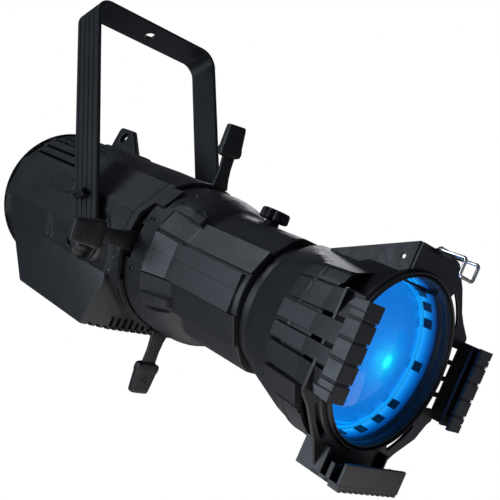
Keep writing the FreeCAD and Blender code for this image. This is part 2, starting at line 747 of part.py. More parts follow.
def back_plate():
    top = 30.0
    low = HOLDER_BOTTOM_SPAN
    outline = [(-top, 98), (top, 98), (51, 80), (81, 51), (96.5, 40), (96.5, -40), (81, -51), (57, -76),
               (low, -96.5), (-low, -96.5), (-57, -76), (-81, -51), (-96.5, -40), (-96.5, 40),
               (-81, 51), (-51, 80)]
    plate = prism_x(outline, PLATE_X, PLATE_X + PLATE_THICK).cut(disc(CELL_R, 300, 400))
    for side in (-1, 1):
        for i in range(4):
            z = (i - 1.5) * WINDOW_PITCH
            y0 = min(side * 80, side * 94)
            plate = plate.cut(block(330, 340, y0, y0 + 14, z - 5.8, z + 5.8))
    for angle in (33, 123, 213, 303):
        arc = tube(87.6, 81.0, 330, 340).common(pie(angle, angle + 24, 330, 340))
        plate = plate.cut(arc)
    return plate


def top_bracket():
    """Two gussets behind the top of the back plate and the knuckle of the wire clip."""
    gusset = prism_y([(PLATE_X, 97.4), (PLATE_X, CONE_TOP + 0.1), (254, CONE_TOP + 0.1)], -27.4, -25.0)
    gusset = gusset.cut(disc_y(2.0, -40, -20, 323.6, 81.2))
    bridge = block(PLATE_X + PLATE_THICK, CLIP_X, -8, 8, CLIP_Z - 3.4, 98)
    knuckle = disc_y(3.4, -8, 8, CLIP_X, CLIP_Z).fuse(bridge)
    knuckle = knuckle.cut(disc_y(1.6, -20, 20, CLIP_X, CLIP_Z))
    return [gusset, mirrored(gusset), knuckle]


CLIP_X = 340.5
CLIP_Z = 97.0
CLIP_WIRE = 1.5


def front_frame():
    """Accessory holder, one moulding kept as touching solids: plate, channels, top bracket and bars."""
    parts = [back_plate()] + side_channel(HOLDER_BOTTOM_SPAN) + top_bracket()
    for angle in (-90, 90):
        parts += [about_axis(piece, angle) for piece in side_channel(HOLDER_SPAN)]
    wall_in = HOLDER_HALF - HOLDER_WALL
    for side in (-1, 1):
        for i in range(5):
            z = (i - 2) * WINDOW_PITCH
            y0 = min(side * wall_in, side * (wall_in - 5.0))
            parts.append(block(CONE_FRONT, PLATE_X, y0, y0 + 5.0, z - 1.3, z + 1.3))
    inside = disc(CELL_R, 290, 400)
    return Part.makeCompound([piece.cut(inside) for piece in parts])


def frame_clip():
    """Closed wire loop that swings over the open top of the holder."""
    half = 11.0
    front = HOLDER_FRONT + 3.0
    low = 83.0
    points = [
        V(CLIP_X, 0, CLIP_Z), V(CLIP_X, half, CLIP_Z), V(front, half, CLIP_Z + 0.5),
        V(front, half, low), V(front, -half, low), V(front, -half, CLIP_Z + 0.5),
        V(CLIP_X, -half, CLIP_Z), V(CLIP_X, 0, CLIP_Z),
    ]
    shapes = []
    for p, q in zip(points[:-1], points[1:]):
        d = q.sub(p)
        shapes.append(Part.makeCylinder(CLIP_WIRE, d.Length, p, d))
        shapes.append(Part.makeSphere(CLIP_WIRE, q))
    return joined(shapes)


def focus_knob():
    """Fluted knob with the stud that clamps the lens tube."""
    low = BARREL_R + 0.5
    knob = disc_z(16.0, low + 4.5, low + 16.0, KNOB_X, 0)
    for i in range(20):
        a = 2 * math.pi * i / 20
        knob = knob.cut(disc_z(1.3, low, low + 20, KNOB_X + 16.2 * math.cos(a), 16.2 * math.sin(a)))
    stem = disc_z(6.2, low, low + 5.0, KNOB_X, 0)
    stud = disc_z(2.95, 55.5, low + 1.0, KNOB_X, 0)
    return joined([knob, stem, stud])


SIDES = {"right": -1, "left": 1}
SHUTTERS = {"top": 90, "right": 180, "bottom": 270, "left": 0}


def build():
    os.makedirs("parts", exist_ok=True)
    save("yoke", yoke())
    save("stop_pin", stop_pin())
    save("pivot_washers", pivot_washers())
    save("top_cover", place_lamp(top_cover()))
    save("base_shell", place_lamp(base_shell()))
    save("front_grille", place_lamp(front_grille()))
    save("rear_cap", place_lamp(rear_cap()))
    save("rear_panel", place_lamp(rear_panel()))
    save("display_window", place_lamp(display_window()))
    save("dmx_input", place_lamp(data_socket(-1, False)))
    save("dmx_output", place_lamp(data_socket(1, True)))
    save("power_inlet", place_lamp(power_socket(-1)))
    save("power_outlet", place_lamp(power_socket(1)))
    save("fuse_holder", place_lamp(fuse_holder()))
    save("safety_fin", place_lamp(safety_fin()))
    save("bulkhead", place_lamp(bulkhead()))
    save("light_tunnel", place_lamp(light_tunnel()))
    save("led_board", place_lamp(led_board()))
    save("condenser_lens", place_lamp(condenser_lens()))
    save("heat_sink", place_lamp(heat_sink()))
    save("fan_frame", place_lamp(fan_frame()))
    save("fan_rotor", place_lamp(fan_rotor()))
    save("power_supply", place_lamp(power_supply()))
    save("control_board", place_lamp(control_board()))
    save("housing_screws", place_lamp(housing_screws()))
    badges = []
    brackets = []
    for name, side in SIDES.items():
        save("tilt_knob_" + name, tilt_knob(side))
        save("side_cover_" + name, place_lamp(side_cover(side)))
        brackets.append(pivot_bracket(side))
        badges.append(badge(side))
    save("badge_plates", place_lamp(Part.makeCompound(badges)))
    save("pivot_brackets", place_lamp(Part.makeCompound(brackets)))
    for i in range(4):
        save("button_" + str(i + 1), place_lamp(button(i)))
    upper, lower = barrel_shells()
    save("barrel_upper", place_barrel(upper))
    save("barrel_lower", place_barrel(lower))
    save("gate_hub", place_barrel(gate_hub()))
    save("gate_plate", place_barrel(gate_plate()))
    save("barrel_screws", place_barrel(barrel_screws()))
    for name, angle in SHUTTERS.items():
        save("shutter_" + name, place_barrel(blade(angle)))
        save("shutter_grip_" + name, place_barrel(blade_grip(angle)))
        save("shutter_pin_" + name, place_barrel(blade_pin(angle)))
    save("lens_tube", place_barrel(lens_tube()))
    save("lens_cell", place_barrel(lens_cell()))
    save("front_lens", place_barrel(front_lens()))
    save("lens_ring", place_barrel(lens_ring()))
    save("rear_lens", place_barrel(rear_lens()))
    save("front_frame", place_barrel(front_frame()))
    save("frame_clip", place_barrel(frame_clip()))
    save("focus_knob", place_barrel(focus_knob()))


build()
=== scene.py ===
import bmesh
import bpy
import json
import math
import numpy as np
from mathutils import Matrix, Vector
from mathutils.geometry import delaunay_2d_cdt


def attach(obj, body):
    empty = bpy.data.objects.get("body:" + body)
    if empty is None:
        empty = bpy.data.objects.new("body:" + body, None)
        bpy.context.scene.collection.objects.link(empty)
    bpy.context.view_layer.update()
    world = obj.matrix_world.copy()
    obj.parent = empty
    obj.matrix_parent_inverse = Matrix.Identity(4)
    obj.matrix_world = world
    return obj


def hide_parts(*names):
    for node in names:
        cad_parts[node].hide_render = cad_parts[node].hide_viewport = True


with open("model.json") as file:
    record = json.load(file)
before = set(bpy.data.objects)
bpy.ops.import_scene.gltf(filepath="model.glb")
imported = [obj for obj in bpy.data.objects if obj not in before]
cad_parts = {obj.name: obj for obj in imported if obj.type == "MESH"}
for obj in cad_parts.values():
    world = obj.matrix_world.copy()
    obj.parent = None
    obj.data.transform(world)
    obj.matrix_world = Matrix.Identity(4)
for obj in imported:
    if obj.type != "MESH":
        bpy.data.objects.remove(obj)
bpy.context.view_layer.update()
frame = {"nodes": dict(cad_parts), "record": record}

# Lamp frame, millimetres: X along the beam, Z up, optical axis at y = z = 0. TO_LAMP brings it into the
# row frame; TO_BARREL first turns it by the barrel angle. The yoke is drawn straight in the row frame.
MM = Matrix.Scale(0.001, 4)
TILT = math.radians(31.2)
PIVOT_DROP = 290.0      # tilt axis below the top of the yoke
AXIS_RISE = 15.6        # optical axis above the tilt axis
TO_ROW = MM
TO_LAMP = MM @ Matrix.Translation((0, 0, -PIVOT_DROP)) @ Matrix.Rotation(TILT, 4, 'Y') @ \
    Matrix.Translation((0, 0, AXIS_RISE))
TO_BARREL = TO_LAMP @ Matrix.Rotation(math.radians(-5.4), 4, 'X')


# ---------------------------------------------------------------- materials
def tree(name):
    m = bpy.data.materials.new(name)
    m.use_nodes = True
    nt = m.node_tree
    return m, nt, nt.nodes["Principled BSDF"]


def noise(nt, scale, detail=4.0, rough=0.55, stretch=None):
    tc = nt.nodes.new("ShaderNodeTexCoord")
    src = tc.outputs["Object"]
    if stretch:
        mp = nt.nodes.new("ShaderNodeMapping")
        mp.inputs["Rotation"].default_value = (0, TILT, 0)
        mp.inputs["Scale"].default_value = stretch
        nt.links.new(src, mp.inputs["Vector"])
        src = mp.outputs["Vector"]
    n = nt.nodes.new("ShaderNodeTexNoise")
    n.inputs["Scale"].default_value = scale
    n.inputs["Detail"].default_value = detail
    n.inputs["Roughness"].default_value = rough
    nt.links.new(src, n.inputs["Vector"])
    return n.outputs["Fac"]


def ramp(nt, fac, stops):
    r = nt.nodes.new("ShaderNodeValToRGB")
    nt.links.new(fac, r.inputs["Fac"])
    while len(r.color_ramp.elements) < len(stops):
        r.color_ramp.elements.new(0.5)
    for e, (pos, col) in zip(r.color_ramp.elements, stops):
        e.position = pos
        e.color = (col, col, col, 1) if isinstance(col, (int, float)) else (*col, 1)
    return r.outputs["Color"]


def span(nt, fac, lo, hi, frm=(0.3, 0.7)):
    m = nt.nodes.new("ShaderNodeMapRange")
    m.inputs["From Min"].default_value = frm[0]
    m.inputs["From Max"].default_value = frm[1]
    m.inputs["To Min"].default_value = lo
    m.inputs["To Max"].default_value = hi
    nt.links.new(fac, m.inputs["Value"])
    return m.outputs["Result"]


def bump(nt, fac, strength, dist, normal=None):
    b = nt.nodes.new("ShaderNodeBump")
    b.inputs["Strength"].default_value = strength
    b.inputs["Distance"].default_value = dist
    nt.links.new(fac, b.inputs["Height"])
    if normal:
        nt.links.new(normal, b.inputs["Normal"])
    return b.outputs["Normal"]


def maths(nt, operation, *values, kind="ShaderNodeMath"):
    """Math node; each value is a constant or another node's output."""
    node = nt.nodes.new(kind)
    node.operation = operation
    for socket, value in zip(node.inputs, values):
        if isinstance(value, bpy.types.NodeSocket):
            nt.links.new(value, socket)
        else:
            socket.default_value = value
    return node.outputs[1 if operation in ('LENGTH', 'DOT_PRODUCT') else 0]


def finish_mat(name, dark, light, rough, grain, depth, metallic=0.0, coat=0.0, stretch=None, broad=9.0,
               spec=0.5):
    """Painted, moulded or metal surface: broad colour change, broken gloss, fine grain."""
    m, nt, p = tree(name)
    wide = noise(nt, broad, 6.0, 0.6)
    nt.links.new(ramp(nt, wide, [(0.32, dark), (0.68, light)]), p.inputs["Base Color"])
    gloss = noise(nt, broad * 4.3, 5.0, 0.65, stretch=stretch)
    nt.links.new(span(nt, gloss, rough[0], rough[1]), p.inputs["Roughness"])
    fine = noise(nt, grain, 3.0, 0.6, stretch=stretch)
    soft = noise(nt, grain * 0.12, 2.0, 0.5)
    nt.links.new(bump(nt, soft, 0.15, depth * 3, bump(nt, fine, 0.6, depth)), p.inputs["Normal"])
    p.inputs["Metallic"].default_value = metallic
    p.inputs["Coat Weight"].default_value = coat
    p.inputs["Coat Roughness"].default_value = 0.25
    p.inputs["Specular IOR Level"].default_value = spec
    return m


# dark colour, light colour, roughness range, grain scale, grain depth in metres, other settings
FINISHES = {
    "powder_black": ((0.011, 0.012, 0.014), (0.017, 0.018, 0.021), (0.36, 0.47), 2600, 0.00008,
        dict(spec=0.55)),
    "plastic_black": ((0.010, 0.011, 0.013), (0.017, 0.018, 0.021), (0.33, 0.45), 1900, 0.00007, dict()),
    "knob_black": ((0.008, 0.008, 0.009), (0.014, 0.014, 0.016), (0.38, 0.52), 3000, 0.00012, dict()),
    "steel_zinc": ((0.42, 0.42, 0.40), (0.62, 0.62, 0.60), (0.22, 0.40), 1500, 0.00003,
        dict(metallic=1.0, broad=40)),
    "steel_black": ((0.016, 0.016, 0.018), (0.032, 0.032, 0.035), (0.28, 0.42), 2000, 0.00004,
        dict(metallic=0.6, broad=60)),
    "blade_steel": ((0.012, 0.012, 0.013), (0.028, 0.028, 0.030), (0.30, 0.42), 900, 0.00004,
        dict(metallic=0.5, stretch=(1, 1, 14))),
    "wire_chrome": ((0.62, 0.62, 0.62), (0.80, 0.80, 0.80), (0.08, 0.2), 900, 0.00002,
        dict(metallic=1.0, broad=80)),
    "cast_aluminium": ((0.36, 0.36, 0.37), (0.52, 0.52, 0.53), (0.35, 0.55), 900, 0.0001,
        dict(metallic=1.0, broad=30)),
    "heat_sink_alu": ((0.03, 0.03, 0.032), (0.06, 0.06, 0.064), (0.38, 0.5), 1200, 0.00005,
        dict(metallic=0.8, broad=25)),
    "pcb": ((0.01, 0.07, 0.03), (0.02, 0.11, 0.05), (0.3, 0.45), 500, 0.00005, dict(broad=60)),
    "led_white": ((0.62, 0.62, 0.56), (0.78, 0.77, 0.68), (0.35, 0.5), 900, 0.00004, dict(broad=90)),
    "socket_black": ((0.010, 0.010, 0.011), (0.018, 0.018, 0.02), (0.36, 0.5), 2200, 0.00008,
        dict(broad=40)),
    "socket_blue": ((0.015, 0.06, 0.28), (0.025, 0.09, 0.36), (0.34, 0.46), 2200, 0.00008, dict(broad=40)),
    "socket_grey": ((0.30, 0.30, 0.31), (0.40, 0.40, 0.41), (0.36, 0.5), 2200, 0.00008, dict(broad=40)),
    "button_rubber": ((0.045, 0.045, 0.05), (0.075, 0.075, 0.08), (0.5, 0.65), 2600, 0.0001,
        dict(broad=70)),
    "badge": ((0.012, 0.013, 0.015), (0.020, 0.021, 0.024), (0.34, 0.44), 1500, 0.000006, dict(broad=50)),
    "psu_case": ((0.40, 0.40, 0.40), (0.55, 0.55, 0.55), (0.3, 0.48), 700, 0.00004,
        dict(metallic=1.0, stretch=(1, 12, 1), broad=20)),
    "gate_black": ((0.012, 0.012, 0.013), (0.024, 0.024, 0.026), (0.34, 0.48), 1500, 0.00005,
        dict(metallic=0.3, broad=30)),
    "display": ((0.006, 0.007, 0.009), (0.012, 0.014, 0.018), (0.06, 0.14), 300, 0.00001, dict(coat=1.0)),
}
MAT = {name: finish_mat(name, *look[:-1], **look[-1]) for name, look in FINISHES.items()}


def axis_distance(nt, side=0.0, rise=0.0):
    """Distance in metres from the optical axis, or from a line beside it, in object coordinates."""
    tc = nt.nodes.new("ShaderNodeTexCoord")
    mp = nt.nodes.new("ShaderNodeVectorRotate")
    mp.rotation_type = 'Y_AXIS'
    mp.inputs["Center"].default_value = (0, 0, -PIVOT_DROP / 1000)
    mp.inputs["Angle"].default_value = -TILT
    nt.links.new(tc.outputs["Object"], mp.inputs["Vector"])
    axis = (0, side, (AXIS_RISE - PIVOT_DROP) / 1000 + rise)
    out = maths(nt, 'SUBTRACT', mp.outputs["Vector"], axis, kind="ShaderNodeVectorMath")
    out = maths(nt, 'MULTIPLY', out, (0, 1, 1), kind="ShaderNodeVectorMath")
    return maths(nt, 'LENGTH', out, kind="ShaderNodeVectorMath")


def lens_mat(name, painted_glow):
    """Coated glass with its glow painted in as emission: blue field, cyan core and faint concentric rings, with
    painted bright rings near the rim.
    """
    m, nt, p = tree(name)
    dist = axis_distance(nt)
    field = span(nt, dist, 0.0, 1.0, (0.0, 0.0715))
    spot = span(nt, axis_distance(nt, 0.006, -0.003), 0.0, 1.0, (0.0, 0.034))
    body = ramp(nt, field, [(0.0, (0.0, 0.27, 0.86)), (0.7, (0.0, 0.23, 0.80)), (1.0, (0.0, 0.33, 0.95))])
    core = ramp(nt, spot, [(0.0, (0.02, 0.9, 0.86)), (0.2, (0.0, 0.62, 0.95)), (0.5, (0.0, 0.34, 0.92)),
                           (1.0, (0.0, 0.27, 0.86))])
    mixer = nt.nodes.new("ShaderNodeMix")
    mixer.data_type = 'RGBA'
    nt.links.new(span(nt, spot, 1.0, 0.0, (0.5, 1.0)), mixer.inputs[0])
    nt.links.new(body, mixer.inputs[6])
    nt.links.new(core, mixer.inputs[7])
    # Painted light in the emission strength: faint concentric rings, thin bright rings near the rim and a
    # bright core.
    rings = maths(nt, 'SINE', maths(nt, 'MULTIPLY', dist, 1500.0))
    edge = ramp(nt, field, [(0.0, 0.30), (0.88, 0.27), (0.895, 0.62),
                            (0.91, 0.27), (0.945, 0.27), (0.96, 0.75),
                            (0.975, 0.25), (1.0, 0.3)])
    painted_core_glow = ramp(nt, spot, [(0.0, 0.42), (0.16, 0.30), (0.24, 0.06), (1.0, 0)])
    power = maths(nt, 'MULTIPLY', maths(nt, 'ADD', edge, painted_core_glow), painted_glow)
    # Painted glow: the blue field and cyan core go in as emission colour.
    nt.links.new(mixer.outputs[2], p.inputs["Emission Color"])
    nt.links.new(maths(nt, 'MULTIPLY_ADD', rings, 0.02 * painted_glow, power), p.inputs["Emission Strength"])
    nt.links.new(ramp(nt, noise(nt, 30, 4), [(0.3, (0.04, 0.22, 0.5)), (0.7, (0.05, 0.28, 0.6))]),
                 p.inputs["Base Color"])
    nt.links.new(span(nt, noise(nt, 55, 5), 0.02, 0.07), p.inputs["Roughness"])
    p.inputs["Transmission Weight"].default_value = 0.35
    p.inputs["Specular IOR Level"].default_value = 0.2
    p.inputs["Coat Weight"].default_value = 0.12
    p.inputs["Coat Roughness"].default_value = 0.03
    p.inputs["IOR"].default_value = 1.5
    return m


# Both lens materials glow with painted light; the inner lenses get the weaker glow.
MAT["lens_glass"] = lens_mat("lens_glass", 1.85)
MAT["lens_inner"] = lens_mat("lens_inner", 1.0)


# ---------------------------------------------------------------- mesh building
def linked(name, data):
    o = bpy.data.objects.new(name, data)
    bpy.context.scene.collection.objects.link(o)
    return o


def raw_mesh(name, verts, faces, merge=False, bevel=0.0, segments=2):
    """Mesh with outward normals, merged corners and bevelled edges as asked."""
    me = bpy.data.meshes.new(name)
    me.from_pydata([tuple(map(float, v)) for v in verts], [], [tuple(map(int, f)) for f in faces])
    bm = bmesh.new()
    bm.from_mesh(me)
    if merge:
        bmesh.ops.remove_doubles(bm, verts=bm.verts, dist=0.004)
    bmesh.ops.recalc_face_normals(bm, faces=bm.faces)
    if bevel:
        bmesh.ops.dissolve_limit(bm, angle_limit=math.radians(0.5), verts=bm.verts, edges=bm.edges)
        bevel_edges(bm, bevel, segments)
    bm.to_mesh(me)
    bm.free()
    return me


def make(name, verts, faces, place, body, slot, mat=None, sharp=32, bevel=0.0, segments=2, merge=True):
    """Visible piece in millimetres, placed in the row frame, riding on a body."""
    me = raw_mesh(name, verts, faces, merge, bevel, segments)
    me.transform(place)
    smooth(me, sharp)
    me.update()
    o = linked(name, me)
    me.materials.append(MAT[mat or slot])
    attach(o, body)
    return o


def smooth(me, sharp=32):
    me.polygons.foreach_set("use_smooth", [True] * len(me.polygons))
    me.set_sharp_from_angle(angle=math.radians(sharp))


def bevel_edges(bm, width, segments=2, angle=25.0):
    edges = [e for e in bm.edges if len(e.link_faces) == 2 and e.calc_face_angle(0.0) > math.radians(angle)]
    bmesh.ops.bevel(bm, geom=edges, offset=width, offset_type='OFFSET', segments=segments, profile=0.5,
                    affect='EDGES', clamp_overlap=True)


def cut(o, pieces, place):
    """Cuts a list of (verts, faces) solids out of the object."""
    me = raw_mesh("cutter", *joined(pieces))
    me.transform(place)
    cutter = linked("cutter", me)
    b = o.modifiers.new("cut", 'BOOLEAN')
    b.operation = 'DIFFERENCE'
    b.solver = 'EXACT'
    b.use_self = True
    b.object = cutter
    result = bpy.data.meshes.new_from_object(o.evaluated_get(bpy.context.evaluated_depsgraph_get()))
    o.modifiers.clear()
    old, o.data = o.data, result
    bpy.data.meshes.remove(old)
    smooth(result)
    bpy.data.objects.remove(cutter)


def joined(pieces):
    verts, faces = [], []
    for v, f in pieces:
        base = len(verts)
        verts += [tuple(p) for p in v]
        faces += [tuple(i + base for i in face) for face in f]
    return verts, faces


def box(x0, x1, y0, y1, z0, z1):
    v = [(x, y, z) for x in (x0, x1) for y in (y0, y1) for z in (z0, z1)]
    f = [(0, 1, 3, 2), (4, 6, 7, 5), (0, 4, 5, 1), (2, 3, 7, 6), (0, 2, 6, 4), (1, 5, 7, 3)]
    return v, f


def rod(p, q, r0, r1=None, n=32):
    """Solid rod or cone from p to q."""
    p, q = Vector(p), Vector(q)
    d = (q - p).normalized()
    u = d.orthogonal().normalized()
    w = d.cross(u)
    r1 = r0 if r1 is None else r1
    v = []
    for c, r in ((p, r0), (q, r1)):
        for i in range(n):
            a = 2 * math.pi * i / n
            v.append(c + u * (r * math.cos(a)) + w * (r * math.sin(a)))
    f = [(i, (i + 1) % n, n + (i + 1) % n, n + i) for i in range(n)]
    f += [tuple(range(n)), tuple(range(2 * n - 1, n - 1, -1))]
    return v, f


def lathe(profile, n=96, a0=0.0, a1=360.0):
    """Closed profile of (x, r), turned about the X axis."""
    whole = abs(a1 - a0) >= 359.9
    count = n if whole else n + 1
    v = []
    for i in range(count):
        a = math.radians(a0 + (a1 - a0) * i / n)
        v += [(x, r * math.cos(a), r * math.sin(a)) for x, r in profile]
    m = len(profile)
    f = []
    for i in range(n):
        j = (i + 1) % count
        for k in range(m):
            l = (k + 1) % m
            f.append((i * m + k, i * m + l, j * m + l, j * m + k))
    if not whole:
        f += [tuple(range(m)), tuple(range((count - 1) * m, count * m))]
    return v, f


def moved(piece, m):
    v, f = piece
    return [m @ Vector(p) for p in v], f


def turn(piece, angle):
    return moved(piece, Matrix.Rotation(math.radians(angle), 4, 'X'))


def loft(rings, first=True, last=True):
    """Skin over a row of closed rings; first and last say which ends are closed."""
    n = len(rings[0])
    v = [p for ring in rings for p in ring]
    f = [(k * n + i, k * n + (i + 1) % n, (k + 1) * n + (i + 1) % n, (k + 1) * n + i)
         for k in range(len(rings) - 1) for i in range(n)]
    if first:
        f.append(tuple(range(n)))
    if last:
        f.append(tuple(range(len(v) - n, len(v))))
    return v, f


def fluted(prof, n, radius, place):
    """Open profile of (t, r, w) turned about an axis, with the radius changing round it."""
    v = []
    for i in range(n):
        a = 2 * math.pi * i / n
        for t, r, w in prof:
            rr = radius(a, r, w)
            v.append(place(t, rr * math.cos(a), rr * math.sin(a)))
    m = len(prof)
    f = [(i * m + k, i * m + k + 1, (i + 1) % n * m + k + 1, (i + 1) % n * m + k)
         for i in range(n) for k in range(m - 1)]
    f.append(tuple(i * m for i in range(n)))
    return v, f


def level(r):
    """Constant radius for shell."""
    return lambda X, A: np.full(X.shape, r)


def middle(points, face):
    return sum((Vector(points[i]) for i in face), Vector((0, 0))) / len(face)


def inside(p, loop):
    hit = False
    for (x0, y0), (x1, y1) in zip(loop, loop[1:] + loop[:1]):
        if (y0 > p[1]) != (y1 > p[1]) and p[0] < (x1 - x0) * (p[1] - y0) / (y1 - y0) + x0:
            hit = not hit
    return hit


def slab(outline, holes, t0, t1, axis='x'):
    """Flat plate with holes: outline in the plane, t0..t1 across it. axis names the normal."""
    loops = [outline] + list(holes)
    pts, edges = [], []
    for loop in loops:
        base = len(pts)
        pts += [Vector(p) for p in loop]
        k = len(loop)
        edges += [(base + i, base + (i + 1) % k) for i in range(k)]
    vo, _, fo, _, _, _ = delaunay_2d_cdt(pts, edges, [list(range(len(outline)))], 1, 1e-4)
    fo = [face for face in fo if not any(inside(middle(vo, face), h) for h in holes)]
    n = len(vo)

    def lift(p, t):
        return {'x': (t, p[0], p[1]), 'y': (p[0], t, p[1]), 'z': (p[0], p[1], t)}[axis]
    v = [lift(p, t0) for p in vo] + [lift(p, t1) for p in vo]
    f = [tuple(face) for face in fo] + [tuple(n + i for i in reversed(face)) for face in fo]
    count = {}
    for face in fo:
        for i in range(len(face)):
            e = (face[i], face[(i + 1) % len(face)])
            count[e] = count.get(e, 0) + 1
    for a, b in list(count):
        if (b, a) not in count:
            f.append((a, b, n + b, n + a))
    return v, f


def circle(cx, cy, r, n=40, a0=0.0, a1=360.0):
    m = n if a1 - a0 >= 359.9 else n + 1
    return [(cx + r * math.cos(math.radians(a0 + (a1 - a0) * i / n)),
             cy + r * math.sin(math.radians(a0 + (a1 - a0) * i / n))) for i in range(m)]


def lines(*groups):
    """Sorted grid lines from numbers and (start, stop, step) ranges."""
    out = []
    for g in groups:
        if isinstance(g, tuple):
            out += list(np.arange(g[0], g[1] + 1e-6, g[2]))
        else:
            out.append(g)
    out = np.array(sorted(out), float)
    keep = [out[0]]
    for x in out[1:]:
        if x - keep[-1] > 0.04:
            keep.append(x)
    return np.array(keep)


def shell(xs, angs, outer, inner, solid=None):
    """Curved wall on a grid of positions along X and angles in degrees from +Y towards +Z.

    outer and inner give radii; solid says which cells hold material, the rest are openings."""
    xs, angs = np.asarray(xs, float), np.asarray(angs, float)
    whole = abs(angs[-1] - angs[0] - 360) < 1e-6
    a_grid = angs[:-1] if whole else angs
    X, A = np.meshgrid(xs, a_grid, indexing="ij")
    ca, sa = np.cos(np.radians(A)), np.sin(np.radians(A))
    ro, ri = outer(X, A), inner(X, A)
    vo = np.stack([X, ro * ca, ro * sa], -1).reshape(-1, 3)
    vi = np.stack([X, ri * ca, ri * sa], -1).reshape(-1, 3)
    verts = np.concatenate([vo, vi])
    nx, na = len(xs) - 1, len(angs) - 1
    m = len(a_grid)
    off = len(vo)
    xc, ac = (xs[:-1] + xs[1:]) / 2, (angs[:-1] + angs[1:]) / 2
    XC, AC = np.meshgrid(xc, ac, indexing="ij")
    mask = np.ones((nx, na), bool) if solid is None else solid(XC, AC)

    def vid(i, j, layer):
        return layer * off + i * m + (j % m)
    faces = []
    for i in range(nx):
        for j in range(na):
            if not mask[i, j]:
                continue
            p = [vid(i, j, 0), vid(i + 1, j, 0), vid(i + 1, j + 1, 0), vid(i, j + 1, 0)]
            q = [vid(i, j, 1), vid(i + 1, j, 1), vid(i + 1, j + 1, 1), vid(i, j + 1, 1)]
            faces.append(tuple(p))
            faces.append(tuple(reversed(q)))
            if i == 0 or not mask[i - 1, j]:
                faces.append((p[0], p[3], q[3], q[0]))
            if i == nx - 1 or not mask[i + 1, j]:
                faces.append((p[1], q[1], q[2], p[2]))
            left = mask[i, j - 1] if (j > 0 or whole) else False
            right = mask[i, (j + 1) % na] if (j < na - 1 or whole) else False
            if not left:
                faces.append((p[0], q[0], q[1], p[1]))
            if not right:
                faces.append((p[3], p[2], q[2], q[3]))
    used = sorted(set(k for f in faces for k in f))
    index = {k: i for i, k in enumerate(used)}
    return verts[used], [tuple(index[k] for k in f) for f in faces]


def step(v, edge, width=0.6):
    """0 before the edge, 1 after it, over a short slope."""
    return np.clip((v - edge) / width + 0.5, 0, 1)


def pad(X, A, x0, x1, a0, a1, wx=0.8, wa=0.6):
    """1 inside a rectangle in (x, angle), with short slopes at its edges."""
    return np.minimum(np.minimum(step(X, x0, wx), 1 - step(X, x1, wx)),
                      np.minimum(step(A, a0, wa), 1 - step(A, a1, wa)))


def pad_lines(x0, x1, a0, a1, wx=0.8, wa=0.6):
    xs = [x0 - wx / 2, x0 + wx / 2, x1 - wx / 2, x1 + wx / 2]
    angs = [a0 - wa / 2, a0 + wa / 2, a1 - wa / 2, a1 + wa / 2]
    return xs, angs


def facets(A, centres_deg, apothem, cap):
    """Radius of a many-sided tube with flat sides at the given centre angles, rounded off at cap."""
    best = np.full(A.shape, 1e9)
    for c in centres_deg:
        d = np.cos(np.radians(A - c))
        best = np.minimum(best, np.where(d > 0.2, apothem / np.maximum(d, 0.2), 1e9))
    return np.minimum(best, cap)


def screw(x, angle, radius, head=3.2):
    """Domed screw head with a round socket, standing radially."""
    v, f = lathe([(0.0, 0.01), (0.0, head), (0.5, head), (1.0, head * 0.92), (1.35, head * 0.7),
                  (1.5, head * 0.45), (1.5, head * 0.42), (0.7, head * 0.40), (0.7, 0.01)], 24)
    m = Matrix.Rotation(math.radians(angle - 90), 4, 'X') @ Matrix.Translation((x, 0, radius)) @ \
        Matrix.Rotation(math.radians(-90), 4, 'Y')
    return moved((v, f), m)


# ---------------------------------------------------------------- yoke
def yoke_mesh():
    half_w, thick, bend, height, half_bar = 92.0, 5.0, 21.0, 290.0, 20.0
    section = [(-20, 0.9), (-19.1, 0), (-15.0, 0), (-14.4, 0.9), (-11.4, 0.9), (-10.8, 0), (-6.2, 0),
               (-5.6, 0.9), (-2.8, 0.9), (-2.2, 0), (2.2, 0), (2.8, 0.9), (5.6, 0.9), (6.2, 0), (10.8, 0),
               (11.4, 0.9), (14.4, 0.9), (15.0, 0), (19.1, 0), (20, 0.9), (20, 4.2), (19.2, 5), (-19.2, 5),
               (-20, 4.2)]
    stations = []
    for i in range(14):
        t = math.pi / 2 * (1 - i / 13)
        dz = half_bar * math.sin(t)
        stations.append(((-half_w, -height - dz), (1, 0), max(math.cos(t), 0.02)))
    stations.append(((-half_w, -150.0), (1, 0), 1.0))
    for i in range(13):
        t = math.pi / 2 * i / 12
        c = (-half_w + bend, -bend)
        stations.append(((c[0] - bend * math.cos(t), c[1] + bend * math.sin(t)),
                         (math.cos(t), -math.sin(t)), 1.0))
    for y in (-40, -12):
        stations.append(((y, 0.0), (0, -1), 1.0))
    full = stations + [((-p[0], p[1]), (-n[0], n[1]), s) for p, n, s in reversed(stations)]
    return loft([[(x * s, p[0] + n[0] * d, p[1] + n[1] * d) for x, d in section] for p, n, s in full])


o = make("yoke_bar", *yoke_mesh(), TO_ROW, "yoke", "powder_black", sharp=28)
cut(o, [rod((0, 0, -12), (0, 0, 6), 6.5, n=48)], TO_ROW)
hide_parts("yoke")
stop = [lathe([(-8.5, 0.01), (-8.5, 3.7), (-7.8, 4.5), (7.8, 4.5), (8.5, 3.7), (8.5, 2.2), (7.2, 2.0),
               (7.2, 0.01)], 40)]
stop = [moved(stop[0], Matrix.Translation((0, -97.0, -238.0)))] + [rod((0, -96.5, -238), (0, -88.5, -238), 2.0)]
o = make("stop_roller", *joined(stop), TO_ROW, "yoke", "steel_zinc", mat="steel_black")
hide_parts("stop_pin")


